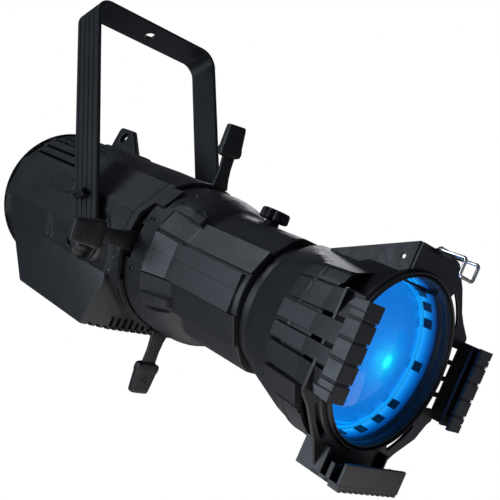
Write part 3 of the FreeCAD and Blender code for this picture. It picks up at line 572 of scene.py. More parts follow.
def tilt_knob(side):
    """Eight-lobed knob; radius varies with the angle. Axis along Y."""
    prof = [(92.4, 8.5, 0), (92.4, 13.5, 0.6), (93.4, 14.6, 1), (95.0, 15.4, 1), (104.5, 15.0, 1),
            (106.6, 13.8, 0.9), (107.4, 11.8, 0.4), (107.4, 8.8, 0), (106.8, 8.2, 0), (104.4, 8.0, 0),
            (104.4, 0.01, 0)]

    def radius(a, r, w):
        return r + w * 2.2 * ((0.5 + 0.5 * math.cos(8 * a)) ** 0.6) - w * 0.4
    handle = fluted(prof, 160, radius, lambda t, p, q: (p, side * t, q))
    stud = rod((0, side * 92.5, 0), (0, side * 70.0, 0), 4.9)
    return moved(joined([handle, stud]), Matrix.Translation((0, 0, -PIVOT_DROP)))


for name, side in (("right", -1), ("left", 1)):
    o = make("tilt_grip_" + name, *tilt_knob(side), TO_ROW, "tilt_knob_" + name, "knob_black", sharp=35)
    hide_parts("tilt_knob_" + name)


# ---------------------------------------------------------------- housing
REAR, FRONT = -207.0, 58.0


def house_radius(X, A):
    """Housing outside: flat panels at the sides and shoulders, round on top and underneath."""
    up = np.where(A > 90, 180 - A, A)
    r = np.full(A.shape, 84.4)
    side = 83.5 / np.cos(np.radians(np.clip(up - 9.5, -40, 40)))
    skirt = 84.9 / np.cos(np.radians(np.clip(up + 14.0, -40, 40)))
    shoulder = 82.3 / np.cos(np.radians(np.clip(up - 40.0, -30, 30)))
    r = np.where(up < 57, np.minimum(np.minimum(np.minimum(side, shoulder), skirt), 85.9), r)
    r = np.where(up >= 57, np.minimum(shoulder, 84.4), r)
    return r - 1.6 * np.clip((X + 5) / 60.0, 0, 1) * np.clip((up + 10) / 60, 0, 1)


# angle and front end of each vent in the top cover; the middle two are short
VENTS = [(38 + 9 * i, -156.0 if i == 5 else -100.0) for i in range(6)] + \
    [(97 + 9 * i, -156.0 if i == 0 else -100.0) for i in range(6)]


def top_cover():
    xs = lines((-207, 56, 8), -206.2, -205.2, -201, -104, -150, 54, 58, 60, 66, 72.5, 74, 47, 48, 49, 49.6)
    ang = []
    for a, front in VENTS:
        ang += [a - 1.35, a + 1.35, a - 1.9, a + 1.9]
    angs = lines(27.7, 30, 36, 54, 57, 58, 122, 123, 126, 144, 150, 152.3, (28, 152, 3), *ang)

    def outer(X, A):
        r = house_radius(X, A)
        r = r - 0.7 * (1 - step(X, -205.9, 1.0))
        r = r + 0.9 * step(X, 48.2, 1.4)
        for a, front in VENTS:
            r = r - 0.7 * (np.abs(A - a) < 1.6) * (X < front + 3) * (X > -203)
        return r

    def solid(X, A):
        s = np.ones(X.shape, bool)
        for a, front in VENTS:
            s &= ~((np.abs(A - a) < 1.35) & (X > -201) & (X < front))
        brow = ((A > 36) & (A < 54)) | ((A > 126) & (A < 144))
        s &= (X < 58) | brow
        return s
    return shell(xs, angs, outer, lambda X, A: house_radius(X, A) - 3.0, solid)


o = make("top_housing", *top_cover(), TO_LAMP, "housing", "powder_black", sharp=24, merge=False)
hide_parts("top_cover")


BAYS = ((-203.0, -192.5), (-95.0, -81.0), (40.0, 47.0))


def side_cover():
    """Right-hand cover; a rim rises round the pivot and sunk bays with a slanted rib lie in its skirt."""
    xs = lines((-207, 57, 5), -206, -204.6, 58, 47, 48, 49, 49.6, (-42, 44, 1.3), (-97, -79, 1.0),
               (-205, -190, 1.0))
    angs = lines((154.0, 205, 2.2), 152.5, 153.2, 205.2, 157.1, 184.0, (181, 204, 0.9))

    def outer(X, A):
        r = house_radius(X, A) + 0.8
        r = r - 0.7 * (1 - step(X, -205.3, 1.4))
        r = r + 0.9 * step(X, 48.2, 1.4)
        y, z = -r * np.cos(np.radians(180 - A)), r * np.sin(np.radians(180 - A))
        d = np.hypot(X, z + 15.6)
        for x0, x1 in BAYS:
            r = r - 2.3 * pad(X, A, x0, x1, 185.5, 201.5, 1.4, 1.4)
            mid = (x0 + x1) / 2 + (A - 193.5) * 0.28
            r = r + 1.7 * np.clip(1.6 - np.abs(X - mid), 0, 1) * pad(X, A, x0, x1, 185.5, 201.5, 1.4, 1.4)
        ring = np.clip(2.0 - np.abs(d - 37.0), 0, 1)
        r = r - 1.6 * np.clip((36 - d) / 2.0, 0, 1) + 0.9 * ring
        return r

    def inner(X, A):
        return house_radius(X, A) - 2.4

    def solid(X, A):
        z = 85 * np.sin(np.radians(180 - A))
        return np.hypot(X, z + 15.6) > 18.2
    return shell(xs, angs, outer, inner, solid)


sv, sf = side_cover()
o = make("side_housing_right", sv, sf, TO_LAMP, "housing", "powder_black", sharp=24, merge=False)
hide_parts("side_cover_right")
o = make("side_housing_left", [(p[0], -p[1], p[2]) for p in sv], sf, TO_LAMP, "housing", "powder_black",
         sharp=24, merge=False)
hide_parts("side_cover_left")


def belly():
    """Round underside in front of and behind the base."""
    xs = lines((-207, 57, 8), -206, -204.6, 58, 47, 48, 49, 49.6, 40, 44, 53)
    angs = lines((205.4, 334.6, 3), 205.4, 334.6, 213, 229, 311, 327)

    def outer(X, A):
        return 83.2 - 0.7 * (1 - step(X, -205.3, 1.4)) + 0.9 * step(X, 48.2, 1.4)

    def solid(X, A):
        s = np.ones(X.shape, bool)
        for x in (40.0, 49.6):
            for a0, a1 in ((213, 229), (311, 327)):
                s &= ~((X > x) & (X < x + 4) & (A > a0) & (A < a1))
        return s
    return shell(xs, angs, outer, level(80.6), solid)


def base_points(h, top=-35.4):
    """Corners of the base box; the front corners are cut off by slanted triangles."""
    pts = []
    for s in (-1, 1):
        pts += [(-189, s * h, top), (33, s * h, top), (35, s * h, -48), (19, s * h, -97.4), (28, s * 45, -97.4),
                (-124, s * h, -97.4)]
    return pts


def base_box():
    """Hollow-looking box: hull of the corners with bevelled edges."""
    bm = bmesh.new()
    for p in base_points(77.8):
        bm.verts.new(p)
    bmesh.ops.convex_hull(bm, input=bm.verts)
    bmesh.ops.dissolve_limit(bm, angle_limit=math.radians(2), verts=bm.verts, edges=bm.edges)
    bevel_edges(bm, 2.2, 3)
    bm.verts.index_update()
    v = [tuple(p.co) for p in bm.verts]
    f = [tuple(p.index for p in face.verts) for face in bm.faces]
    bm.free()
    return v, f


o = make("base_belly", *belly(), TO_LAMP, "housing", "powder_black", sharp=24, merge=False)
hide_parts("base_shell")
o = make("base_box", *base_box(), TO_LAMP, "housing", "powder_black", sharp=24)
grooves = []
for i in range(17):
    y = (i - 8) * 8.5
    grooves.append(box(-112, 40, y - 2.3, y + 2.3, -104, -93.4))
for i in range(12):
    y = (i - 5.5) * 8.5
    grooves.append(box(24, 44, y - 1.9, y + 1.9, -93.0, -82.0))
cut(o, grooves, TO_LAMP)
cut(o, [rod((-230, 0, 0), (60, 0, 0), 80.2, n=96)], TO_LAMP)


rim = lathe([(-207.2, 86.4), (-208.2, 86.4), (-212.6, 84.6), (-214.1, 82.6), (-214.1, 79.4), (-213.0, 78.2),
             (-209.5, 77.4), (-209.5, 76.0), (-199.4, 76.0), (-199.4, 80.8), (-207.2, 80.8)], 144)
o = make("rear_rim", *rim, TO_LAMP, "housing", "powder_black")
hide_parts("rear_cap")


def rear_plate():
    holes = [[(-30, 25), (30, 25), (30, 51), (-30, 51)], circle(0, -49, 7.0, 32)]
    for i in range(4):
        holes.append(circle((i - 1.5) * 15.0, 13, 4.1, 28))
    for s in (-1, 1):
        for z in (-14, -49):
            holes.append(circle(s * 30, z, 12.0, 40))
    for i in range(9):
        for k in range(5):
            y, z = -60 + k * 4.2, 4 + i * 4.2
            if math.hypot(y, z) < 66 and abs(y) > 40:
                holes.append(circle(y, z, 1.3, 12))
                holes.append(circle(-y, z, 1.3, 12))
    return slab(circle(0, 0, 75.8, 120), holes, -212.7, -210.2, 'x')


o = make("rear_plate", *rear_plate(), TO_LAMP, "housing", "powder_black", bevel=0.25, segments=1)
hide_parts("rear_panel")


def badge(side):
    """Oval plate with a raised rim, wrapped on the side cover."""
    steps = [(1.0, 0.0), (1.0, 1.5), (0.965, 1.9), (0.925, 1.7)] + [(0.9 - 0.11 * i, 0.9) for i in range(9)]
    rings = []
    for s, h in steps:
        ring = []
        for t in np.arange(72) * math.pi / 36:
            x = -95 + 28 * s * math.cos(t)
            a = math.radians(19.5 + math.degrees(9.6 * s * math.sin(t) / 85.5))
            base = float(house_radius(np.array([[x]]), np.array([[180 - math.degrees(a)]]))[0, 0]) + 1.0
            ring.append((x, side * (base + h) * math.cos(a), (base + h) * math.sin(a)))
        rings.append(ring)
    return loft(rings, first=False)


o = make("badges", *joined([badge(-1), badge(1)]), TO_LAMP, "housing", "badge")
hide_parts("badge_plates")


def fin():
    outline = [(-147, 83.0), (-139.5, 106.5), (-137.5, 109.6), (-134, 111.3), (-115, 111.3), (-112, 110.2),
               (-110, 107.6), (-92, 86.5), (-78, 83.0)]
    hole = circle(-128, 98, 4.5, 16, 150, 330) + circle(-123.5, 102.5, 4.5, 16, -30, 150)
    return slab(outline, [hole], -3.6, 3.6, 'y')


def fin_foot():
    xs = lines((-152, -74, 6), -151.2, -74.8)
    angs = lines(84.4, 84.9, (86, 94, 2), 95.1, 95.6)
    return shell(xs, angs, lambda X, A: 86.4 - 1.2 * (1 - pad(X, A, -151.4, -74.6, 84.7, 95.3, 0.8, 0.5)),
                 level(83.6))


o = make("safety_lug", *fin(), TO_LAMP, "housing", "powder_black", bevel=0.7, segments=2)
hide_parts("safety_fin")
o = make("safety_lug_foot", *fin_foot(), TO_LAMP, "housing", "powder_black")
heads = []
for x, a in ((21, 57.5), (21, 122.5), (-180, 57.5), (-180, 122.5)):
    heads.append(screw(x, a, 83.0 if x > 0 else 84.0))
o = make("housing_screw_heads", *joined(heads), TO_LAMP, "housing", "steel_black")
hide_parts("housing_screws")


# ---------------------------------------------------------------- barrel
EIGHT = [45 * i for i in range(-4, 9)]
SHUTTER_ANGLES = {"top": 90, "right": 180, "bottom": 270, "left": 0}


def gate_radius(X, A):
    dome = np.interp(X, [50, 58, 60, 92, 100, 109, 116, 122.6, 128, 134], [78.6, 78.6, 79.4, 79.8, 79.2,
                                                                           77.6, 75.0, 71.7, 68.2, 65.6])
    tubes = facets(A, EIGHT, 65.4, 68.6)
    blend = np.clip((X - 124) / 12.0, 0, 1)
    return np.where(X < 124, dome, dome * (1 - blend) + tubes * blend)


RAISED = []
for lo, hi, x0, x1, flat in ((-17.0, 12.8, 88, 209, 69.8), (15.4, 37.6, 88, 230, 68.4),
                             (-43.0, -17.6, 88, 230, 68.0)):
    RAISED.append((x0, x1, 180 - hi, 180 - lo, flat))
    RAISED.append((x0, x1, lo % 360, hi % 360, flat))
TABS = [(82, 124, a0, a1) for a0, a1 in ((140.3, 147.3), (211.7, 219.2), (32.7, 39.7), (320.8, 328.3))]


def barrel_grid():
    xs = [(50, 216, 4), 87.6, 88.4, 115, 124.4, 57.6, 58.4, 59.4, 60.2, 66.2, 67.0, 92, 96, 215.2, 216,
          (98, 136, 2.5), 134, 135, 127, 181, 131.5, 184.5]
    ang = [(0, 360, 4), 0, 360]
    for x0, x1, a0, a1, flat in RAISED:
        px, pa = pad_lines(x0, x1, a0, a1)
        xs += px[:2] if x1 > 216 else px
        ang += [p % 360 for p in pa]
    for x0, x1, a0, a1 in TABS:
        px, pa = pad_lines(x0, x1, a0, a1)
        xs += px
        ang += pa
    for a in SHUTTER_ANGLES.values():
        ang += [(a - 13.2) % 360, (a + 13.2) % 360]
    ang += [90 - 3.1, 90 + 3.1, 88, 92]
    for c in range(0, 360, 45):
        ang += [(c + 22.5) % 360, (c + 20.6) % 360, (c + 24.4) % 360]
    return lines(*xs), lines(*ang)


def barrel_outer(X, A):
    """Gate dome on top and underneath, long sloping then straight panels at the sides, four narrow ledges."""
    r = gate_radius(X, A)
    zone = np.maximum(pad(X, A, 88, 230, 142.2, 223.4), np.maximum(pad(X, A, 88, 230, -43.4, 37.8),
                                                                   pad(X, A, 88, 230, 316.6, 397.8)))
    r = r * (1 - zone) + np.interp(X, [88, 115, 216], [78.2, 69.4, 67.0]) * zone
    bend = 115.0
    for x0, x1, a0, a1, flat in RAISED:
        a1 = a1 if a1 > a0 else a1 + 360
        slope = np.interp(X, [x0, bend, 216], [79.2, flat + 0.7, flat])
        for turn_by in (0, 360, -360):
            B = A + turn_by
            half = (a1 - a0) / 2
            off = np.clip(B - (a0 + a1) / 2, -half, half)
            plane = slope * math.cos(math.radians(half * 0.6)) / np.cos(np.radians(off))
            p = pad(X, B, x0, x1, a0, a1)
            r = np.where(p > 0, r * (1 - p) + plane * p, r)
        bend = 124.0
    for x0, x1, a0, a1 in TABS:
        p = pad(X, A, x0, x1, a0, a1)
        top = np.interp(X, [x0, x0 + 5, 110, x1], [79.8, 80.2, 77.6, 73.6])
        r = np.where(p > 0, r * (1 - p) + np.maximum(top, r) * p, r)
    return r - 0.8 * step(X, 215.5, 0.8)


def barrel_inner(X, A):
    return np.interp(X, [50, 86, 113, 122, 127, 216], [77.0, 77.0, 67.5, 64.0, 62.4, 62.4])


def barrel_solid(X, A):
    s = np.ones(X.shape, bool)
    for a in SHUTTER_ANGLES.values():
        d = np.abs((A - a + 180) % 360 - 180)
        s &= ~((d < 13.2) & (X > 58.4) & (X < 66.2))
    s &= ~((np.abs(A - 90) < 3.1) & (X > 131.5) & (X < 184.5))
    return s


bx, ba = barrel_grid()
for name, a0, a1 in (("barrel_top", 0, 180), ("barrel_under", 180, 360)):
    part = ba[(ba >= a0) & (ba <= a1)]
    part = np.unique(np.concatenate([[a0], part, [a1]]))
    part[0] += 0.08
    part[-1] -= 0.08
    v, f = shell(bx, part, barrel_outer, barrel_inner, barrel_solid)
    o = make(name, v, f, TO_BARREL, "barrel", "powder_black", sharp=24, merge=False)
    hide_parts("barrel_upper" if a0 == 0 else "barrel_lower")


def strut(s):
    """Thin rib that runs down the dome from the gate to the ledge."""
    ends = []
    for x, r, a in ((85, 79.6, 126.7), (123.5, 73.6, 139.6)):
        a = math.radians(a)
        ends.append((x, s * r * abs(math.cos(a)), r * math.sin(a)))
    return rod(ends[0], ends[1], 1.5, 1.3, 10)


make("gate_struts", *joined([strut(-1), strut(1)]), TO_BARREL, "barrel", "powder_black", sharp=50)
heads = [screw(73, a, 79.4) for a in (49, 131)] + [screw(72, a, 79.4) for a in (161, 199, 19, 341)] + \
    [screw(122, a, 68.5, 2.6) for a in (165.9, 14.1)]
o = make("barrel_screw_heads", *joined(heads), TO_BARREL, "barrel", "steel_black")
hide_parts("barrel_screws")


# ---------------------------------------------------------------- shutters
def lever(x0):
    outline = [(-32, 36), (32, 36), (32, 54), (16.5, 71), (14.5, 74), (11.5, 77.5), (9.0, 84), (8.0, 92),
               (7.2, 104), (7.4, 118), (-7.4, 118), (-7.2, 104), (-8.0, 92), (-9.0, 84), (-11.5, 77.5),
               (-14.5, 74), (-16.5, 71), (-32, 54)]
    plate = slab(outline, [circle(0, 70, 3.0, 24)], x0, x0 + 1.0, 'x')
    root = slab([(-11, 82), (11, 82), (8.6, 93), (7.6, 104), (8.2, 117.5), (-8.2, 117.5), (-7.6, 104),
                 (-8.6, 93)], [], max(x0 - 1.6, 58.7), min(x0 + 2.6, 65.9), 'x')
    return plate, root


def grip(mid):
    """Moulded grip: shoulders, tapering outwards, a small raised ring on each face."""
    stations = [(116.6, 8.6, 3.4), (117.4, 10.6, 4.4), (118.6, 13.4, 4.8), (121.6, 14.3, 5.0),
                (126, 13.9, 5.0), (128, 13.1, 4.7), (130, 13.0, 4.7), (146.5, 11.4, 4.5),
                (149.6, 10.9, 4.3), (150.7, 9.8, 3.6), (151.0, 8.4, 2.4)]
    body = []
    for z, hw, ht in stations:
        turns = [(math.cos(t), math.sin(t)) for t in np.arange(28) * math.pi / 14]
        body.append([(mid + ht * math.copysign(abs(s) ** 0.28, s), hw * math.copysign(abs(c) ** 0.28, c), z)
                     for c, s in turns])
    rings = []
    for s in (-1, 1):
        ring = lathe([(0, 2.2), (0, 3.4), (0.5, 3.4), (0.7, 2.9), (0.5, 2.2)], 24)
        m = Matrix.Translation((mid + s * 4.7, 0, 136)) @ Matrix.Rotation(0 if s > 0 else math.pi, 4, 'Z')
        rings.append(moved(ring, m))
    return joined([loft(body)] + rings)


LEVER_TILT = {"top": 9.5, "right": 7.5, "bottom": 3.5, "left": 0.0}
for k, (name, angle) in enumerate((("top", 90), ("bottom", 270), ("right", 180), ("left", 0))):
    x0 = 59.4 + 1.8 * k
    swing = Matrix.Translation((0, 0, 70)) @ Matrix.Rotation(math.radians(LEVER_TILT[name]), 4, 'X') @ \
        Matrix.Translation((0, 0, -70))
    plate, root = [moved(piece, swing) for piece in lever(x0)]
    v, f = turn(joined([plate]), angle - 90)
    o = make("blade_" + name, v, f, TO_BARREL, "shutter_" + name, "blade_steel", bevel=0.15, segments=1)
    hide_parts("shutter_" + name)
    v, f = turn(root, angle - 90)
    o = make("lever_" + name, v, f, TO_BARREL, "shutter_" + name, "knob_black", bevel=0.8, segments=2)
    v, f = turn(moved(grip(x0 + 0.5), swing), angle - 90)
    o = make("grip_" + name, v, f, TO_BARREL, "shutter_" + name, "knob_black", sharp=38)
    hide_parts("shutter_grip_" + name)


# ---------------------------------------------------------------- lens tube and cone
def cone_base(X):
    return np.interp(X, [229, 230.5, 231.5, 243, 262, 275, 294, 318, 324],
                     [65.5, 66.4, 67.2, 71.2, 77.6, 82.0, 85.6, 87.6, 87.8])


RIBS = []
for x0, a0, a1, h in ((256, 141.2, 144.8, 3.4), (266, 151.6, 154.2, 2.4), (272.5, 155.0, 168.2, 0.8),
                      (279, 170.4, 180.3, 9), (279, 182.6, 190.4, 9), (279, 192.4, 204.4, 9),
                      (279, 206.6, 219.0, 9), (266, 221.4, 224.8, 2.4)):
    RIBS.append((x0, a0, a1, h))
    RIBS.append((x0, (180 - a1) % 360, (180 - a0) % 360 or 360, h))
CONE_END = 318.0


def flat_top(A, inset):
    """Radius limit of the level top of the cone and of the two slopes beside it."""
    up = np.sin(np.radians(np.clip(A, 1, 179)))
    r = np.where((A > 40) & (A < 140), (66.0 - inset) / up, 200.0)
    for c in (74.6, 105.4):
        d = np.cos(np.radians(A - c))
        r = np.where((A > 37) & (A < 143) & (d > 0.5), np.minimum(r, (69.4 - inset) / np.maximum(d, 0.5)), r)
    return r


def cone():
    xs = [(229, CONE_END, 5), 229, 229.8, 231, 232, 233, CONE_END - 0.8, CONE_END, 240, 241.2]
    ang = [(0, 360, 5), 0, 360]
    for x0, a0, a1, h in RIBS:
        px, pa = pad_lines(x0, 400, a0, a1, 1.2, 0.6)
        xs += px[:2]
        ang += [p % 360 for p in pa]

    def outer(X, A):
        r = cone_base(X)
        r = r - 0.5 * (1 - step(X, 229.6, 0.8))
        base = r.copy()
        for x0, a0, a1, h in RIBS:
            for shift in (0, 360, -360):
                B = A + shift
                p = pad(X, B, x0, 400, a0, a1, 1.2, 0.6)
                high = base + h if h < 8 else np.interp(X, [279, 341], [88.6, 93.2])
                flat = high / np.cos(np.radians(np.clip(B - (a0 + a1) / 2, -20, 20))) - 0.25
                r = np.where(p > 0, base * (1 - p) + flat * p, r)
        return np.minimum(r, flat_top(A, 0.0))

    def inner(X, A):
        r = np.interp(X, [229, 232, 262, 294, 318, CONE_END], [59.6, 62.0, 74.0, 82.0, 84.2, 84.4])
        return np.minimum(r, flat_top(A, 2.0))
    return shell(lines(*xs), lines(*ang), outer, inner)


slide = lathe([(136, 59.0), (136, 61.2), (136.6, 61.6), (230, 61.6), (230, 59.0)], 128)


def finger(a0, a1):
    """End of one rib, rising to meet the wall of the near channel."""
    mid = (a0 + a1) / 2

    def outer(X, A):
        return np.interp(X, [317, 333, 349], [91.5, 94.2, 95.6]) / np.cos(np.radians(A - mid)) - 0.25
    return shell(lines(317.0, 333, 349.4), lines(a0, mid, a1), outer, level(88.6))


fingers = [finger(a0, a1) for a0, a1 in ((155.5, 168.0), (170.4, 180.3), (182.6, 190.4), (192.4, 204.4))]
make("rib_fingers", *joined(fingers), TO_BARREL, "zoom", "powder_black", sharp=24)
web = lathe([(291, 71.8), (291, 86.0), (294, 86.0), (294, 71.8)], 96, -218, 38)
o = make("lens_cone", *cone(), TO_BARREL, "zoom", "powder_black", sharp=24, merge=False)
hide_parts("lens_tube")
o = make("lens_slide", *joined([slide, web]), TO_BARREL, "zoom", "powder_black")
cell = lathe([(294.2, 71.5), (294.2, 74.4), (337.2, 74.4), (338.6, 74.0), (339, 73.2), (339, 72.6),
              (338.2, 72.2), (336, 72.1), (335.6, 71.6), (331, 71.5), (330.4, 71.1), (326.0, 70.9),
              (325.6, 71.5)], 144)
o = make("lens_bezel", *cell, TO_BARREL, "zoom", "gate_black")
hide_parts("lens_cell")


def front_lens():
    prof = [(307.3, 0.01), (307.3, 70.7), (309.8, 70.9)]
    steps = 24
    for i in range(steps + 1):
        r = 70.9 * (1 - i / steps)
        prof.append((177.9 + math.sqrt(150.0 ** 2 - r * r), max(r, 0.01)))
    return lathe(prof, 160)


# The front glass carries the lens material with its painted glow.
o = make("front_glass", *front_lens(), TO_BARREL, "zoom", "lens_glass", mat="lens_glass", sharp=50)
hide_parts("front_lens")


def painted_glow_collar():
    """Collar between the lens and the bezel, with painted glow from the lens as emission that dims towards the
    front.
    """
    m, nt, p = tree("collar")
    tc = nt.nodes.new("ShaderNodeTexCoord")
    along = maths(nt, 'DOT_PRODUCT', tc.outputs["Object"], (math.cos(TILT), 0, -math.sin(TILT)),
                  kind="ShaderNodeVectorMath")
    base = PIVOT_DROP / 1000 * math.sin(TILT)
    # Painted light: emission colour and strength fall off along the beam, standing in for light from the lens.
    painted_glow_fall = span(nt, along, 0.0, 1.0, (base + 0.309, base + 0.327))
    nt.links.new(ramp(nt, painted_glow_fall, [(0.0, (0.02, 0.45, 1.0)), (0.6, (0.0, 0.22, 0.85)),
                                 (0.86, (0.0, 0.10, 0.5)), (1.0, (0.0, 0.03, 0.18))]),
                 p.inputs["Emission Color"])
    nt.links.new(span(nt, painted_glow_fall, 0.95, 0.16, (0.2, 1.0)), p.inputs["Emission Strength"])
    nt.links.new(ramp(nt, noise(nt, 60), [(0.3, (0.01, 0.05, 0.12)), (0.7, (0.015, 0.07, 0.16))]),
                 p.inputs["Base Color"])
    p.inputs["Roughness"].default_value = 0.3
    MAT["collar"] = m
    ring = lathe([(310.2, 71.45), (310.2, 71.1), (313, 71.0), (324.5, 70.9), (325.5, 71.1), (325.5, 71.45)],
                 144)
    bumps = []
    for a in (17, 80, 100, 163, 197, 260, 280, 341):
        a = math.radians(a)
        c = Vector((317.5, 71.0 * math.cos(a), 71.0 * math.sin(a)))
        bumps.append(rod(c, c - Vector((0, math.cos(a), math.sin(a))) * 0.9, 2.2, 1.7, 20))
    return joined([ring] + bumps)


collar = painted_glow_collar()
make("lens_collar", *collar, TO_BARREL, "zoom", "plastic_black", mat="collar")


def snap_ring():
    ring = lathe([(311.1, 71.0), (311.1, 71.35), (311.5, 71.35), (311.5, 71.0)], 120)
    tabs = []
    for a in (0.5, 34, 48.5, 67, 90, 113, 131.5, 146, 180, 212, 229, 247.5, 270, 292.5, 311, 328):
        xs = lines(313.0, 316, 321.0)
        angs = lines(a - 3.6, a, a + 3.6)
        tabs.append(shell(xs, angs, level(70.85), level(69.7)))
    return joined([ring] + tabs)


o = make("snap_ring", *snap_ring(), TO_BARREL, "zoom", "plastic_black")
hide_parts("lens_ring")


# ---------------------------------------------------------------- accessory holder
def holder_plate():
    outline = [(-26, 97.0), (31, 97.4), (36, 96.0), (56, 79), (72, 60), (82, 52), (97.0, 42), (98.0, 40),
               (98.0, -40), (93, -44), (84, -59), (61, -76), (43.5, -94), (42, -96.4), (-42, -96.4),
               (-43.5, -94), (-56, -76), (-80, -51), (-91, -43), (-93, -40), (-93, 40), (-90, 41)]
    outline += circle(0, 0, 78.6, 14, 149, 109.5)
    holes = [circle(0, 0, 74.5, 120)]
    for i in range(4):
        z0, z1 = (i - 1.5) * 15.6 - 5.6, (i - 1.5) * 15.6 + 5.6
        inner = [math.sqrt(78.6 ** 2 - z * z) for z in (z0, z1)]
        holes.append([(inner[0], z0), (94.0, z0), (94.0, z1), (inner[1], z1)])
    for a in (33, 213, 303):
        ring = circle(0, 0, 87.6, 12, a, a + 24) + list(reversed(circle(0, 0, 81.0, 12, a, a + 24)))
        holes.append(ring)
    return slab(outline, holes, 333.0, 336.0, 'x')


o = make("holder_plate", *holder_plate(), TO_BARREL, "zoom", "plastic_black", bevel=0.45, segments=1)
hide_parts("front_frame")


hoops = [lathe([(335.8, 75.2), (339.6, 75.4), (340.4, 75.9), (340.6, 76.6), (339.8, 77.2), (335.8, 77.4)], 144),
         lathe([(335.8, 77.6), (337.0, 77.8), (337.2, 78.1), (335.8, 78.4)], 144)]
make("holder_hoops", *joined(hoops), TO_BARREL, "zoom", "plastic_black")


def channel(half, bottom, wall=341.0):
    """Channel drawn along the bottom edge: blocks on its outer wall and front lip, thin ribs between them."""
    parts = []
    pitch = 15.6
    for i in range(5 if not bottom else 0):
        y = (i - 2) * pitch
        y0, y1 = max(y - 6.6, -half), min(y + 6.6, half)
        parts.append(box(360.2, 363.4, y0, y1, -97.5, -79.6))
        if i in (0, 4):
            s = -1 if i == 0 else 1
            y0, y1 = sorted((s * 24.5, s * 29.5))
            parts.append(box(349.3, 363.4, y0, y1, -100, -96.6))
            end = [(345.4, s * 30.4), (363.4, s * 30.4), (363.4, s * 38.0), (350.4, s * 37.0)]
            parts.append(slab(end, [], -100, -96.6, 'z'))
        else:
            parts.append(box(349.3, 363.4, y0, y1, -100, -96.6))
        if i < 4:
            m = y + pitch / 2
            parts.append(box(348.0, 362.9, m - 0.5, m + 0.5, -99.6, -96.0))
            parts.append(box(360.2, 362.9, m - 0.5, m + 0.5, -98, -80.4))
    parts.append(box(wall, 362.6, -half + 0.8, half - 0.8, -98.0, -96.5))
    parts.append(box(360.0, 362.4, -half + 0.8, half - 0.8, -97, -81.6))
    parts.append(box(349.5, 352.3, -half + 1.0, half - 1.0, -97, -85.6))
    if bottom:
        parts.append(box(334.0, 363.4, -half, half, -100, -96.6))
        parts.append(box(360.2, 363.4, -half, half, -98, -79.8))
        for i in range(11):
            y = (i - 5) * 7.8
            parts.append(box(352.0, 363.4, y - 2.3, y + 2.3, -102.4, -99.6))
        for s in (-1, 1):
            y0, y1 = sorted((s * half, s * (half - 3.0)))
            parts.append(box(318.0, 343.0, y0, y1, -100, -76.0))
            parts.append(box(348.6, 352.6, y0, y1, -100, -84.0))
    return parts


for name, half, angle, wall in (("bottom", 43.0, 0, 341.0), ("right", 38.0, -90, 348.6),
                                ("left", 38.0, 90, 336.0)):
    v, f = joined([turn(piece, angle) for piece in channel(half, name == "bottom", wall)])
    make("channel_" + name, v, f, TO_BARREL, "zoom", "plastic_black", bevel=0.35, segments=1, sharp=28,
         merge=False)


def gusset(y0, y1):
    """Triangular sheet behind the top of the holder plate."""
    outline = [(333.2, 97.2), (333.2, 63.0), (254.0, 60.5), (252.5, 65.8)]
    return slab(outline, [circle(323.6, 81.2, 2.0, 24)], y0, y1, 'y')


knuckle = [rod((340.5, -8, 97), (340.5, 8, 97), 3.3), box(336, 340.5, -7.8, 7.8, 93.8, 97.9)]
make("holder_gussets", *joined([gusset(-27.3, -25.1), gusset(25.1, 27.3)]), TO_BARREL, "zoom", "gate_black",
     bevel=0.3, segments=1, sharp=28)
make("clip_knuckle", *joined(knuckle), TO_BARREL, "zoom", "plastic_black", sharp=40)


def wire(points, r, n=16):
    """Round wire along a rounded path."""
    path = []
    k = len(points)
    for i, p in enumerate(points):
        p = Vector(p)
        if i in (0, k - 1):
            path.append(p)
            continue
        a, b = Vector(points[i - 1]), Vector(points[i + 1])
        ra = min(3.0, (a - p).length / 2, (b - p).length / 2)
        s, e = p + (a - p).normalized() * ra, p + (b - p).normalized() * ra
        for t in range(7):
            u = t / 6
            path.append(s * (1 - u) ** 2 + p * 2 * u * (1 - u) + e * u * u)
    rings = []
    turns = np.arange(n) * 2 * math.pi / n
    normal = None
    for i, p in enumerate(path):
        d = (path[min(i + 1, len(path) - 1)] - path[max(i - 1, 0)]).normalized()
        if normal is None:
            normal = d.orthogonal().normalized()
        normal = (normal - d * normal.dot(d)).normalized()
        w = d.cross(normal)
        rings.append([p + normal * (r * math.cos(a)) + w * (r * math.sin(a)) for a in turns])
    return loft(rings)


clip = wire([(340.5, 1, 97), (340.5, 11, 97), (366.4, 11, 97.5), (366.4, 11, 83), (366.4, -11, 83),
             (366.4, -11, 97.5), (340.5, -11, 97), (340.5, -1, 97)], 1.45)
o = make("wire_clip", *clip, TO_BARREL, "frame_clip", "wire_chrome", sharp=50)
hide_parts("frame_clip")


def knob():
    """Fluted focus knob on its stem."""
    prof = [(70.4, 6.6, 0), (70.4, 11.5, 0.3), (71.2, 14.2, 1), (72.2, 15.0, 1), (79.8, 14.6, 1),
            (81.4, 13.6, 1), (81.9, 12.2, 0.4), (81.9, 5.2, 0), (81.3, 4.6, 0), (80.2, 4.4, 0), (80.2, 0.01, 0)]

    def radius(a, r, w):
        return r - w * 2.6 * (1 - (0.5 + 0.5 * math.cos(10 * a)) ** 0.55)
    handle = fluted(prof, 200, radius, lambda t, p, q: (150 + p, q, t))
    stem = [rod((150, 0, 66.2), (150, 0, 70.6), 7.6, 6.8), rod((150, 0, 56), (150, 0, 66.4), 2.9)]
    return joined([handle] + stem)


o = make("focus_grip", *knob(), TO_BARREL, "focus_knob", "plastic_black", mat="knob_black", sharp=35)
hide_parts("focus_knob")


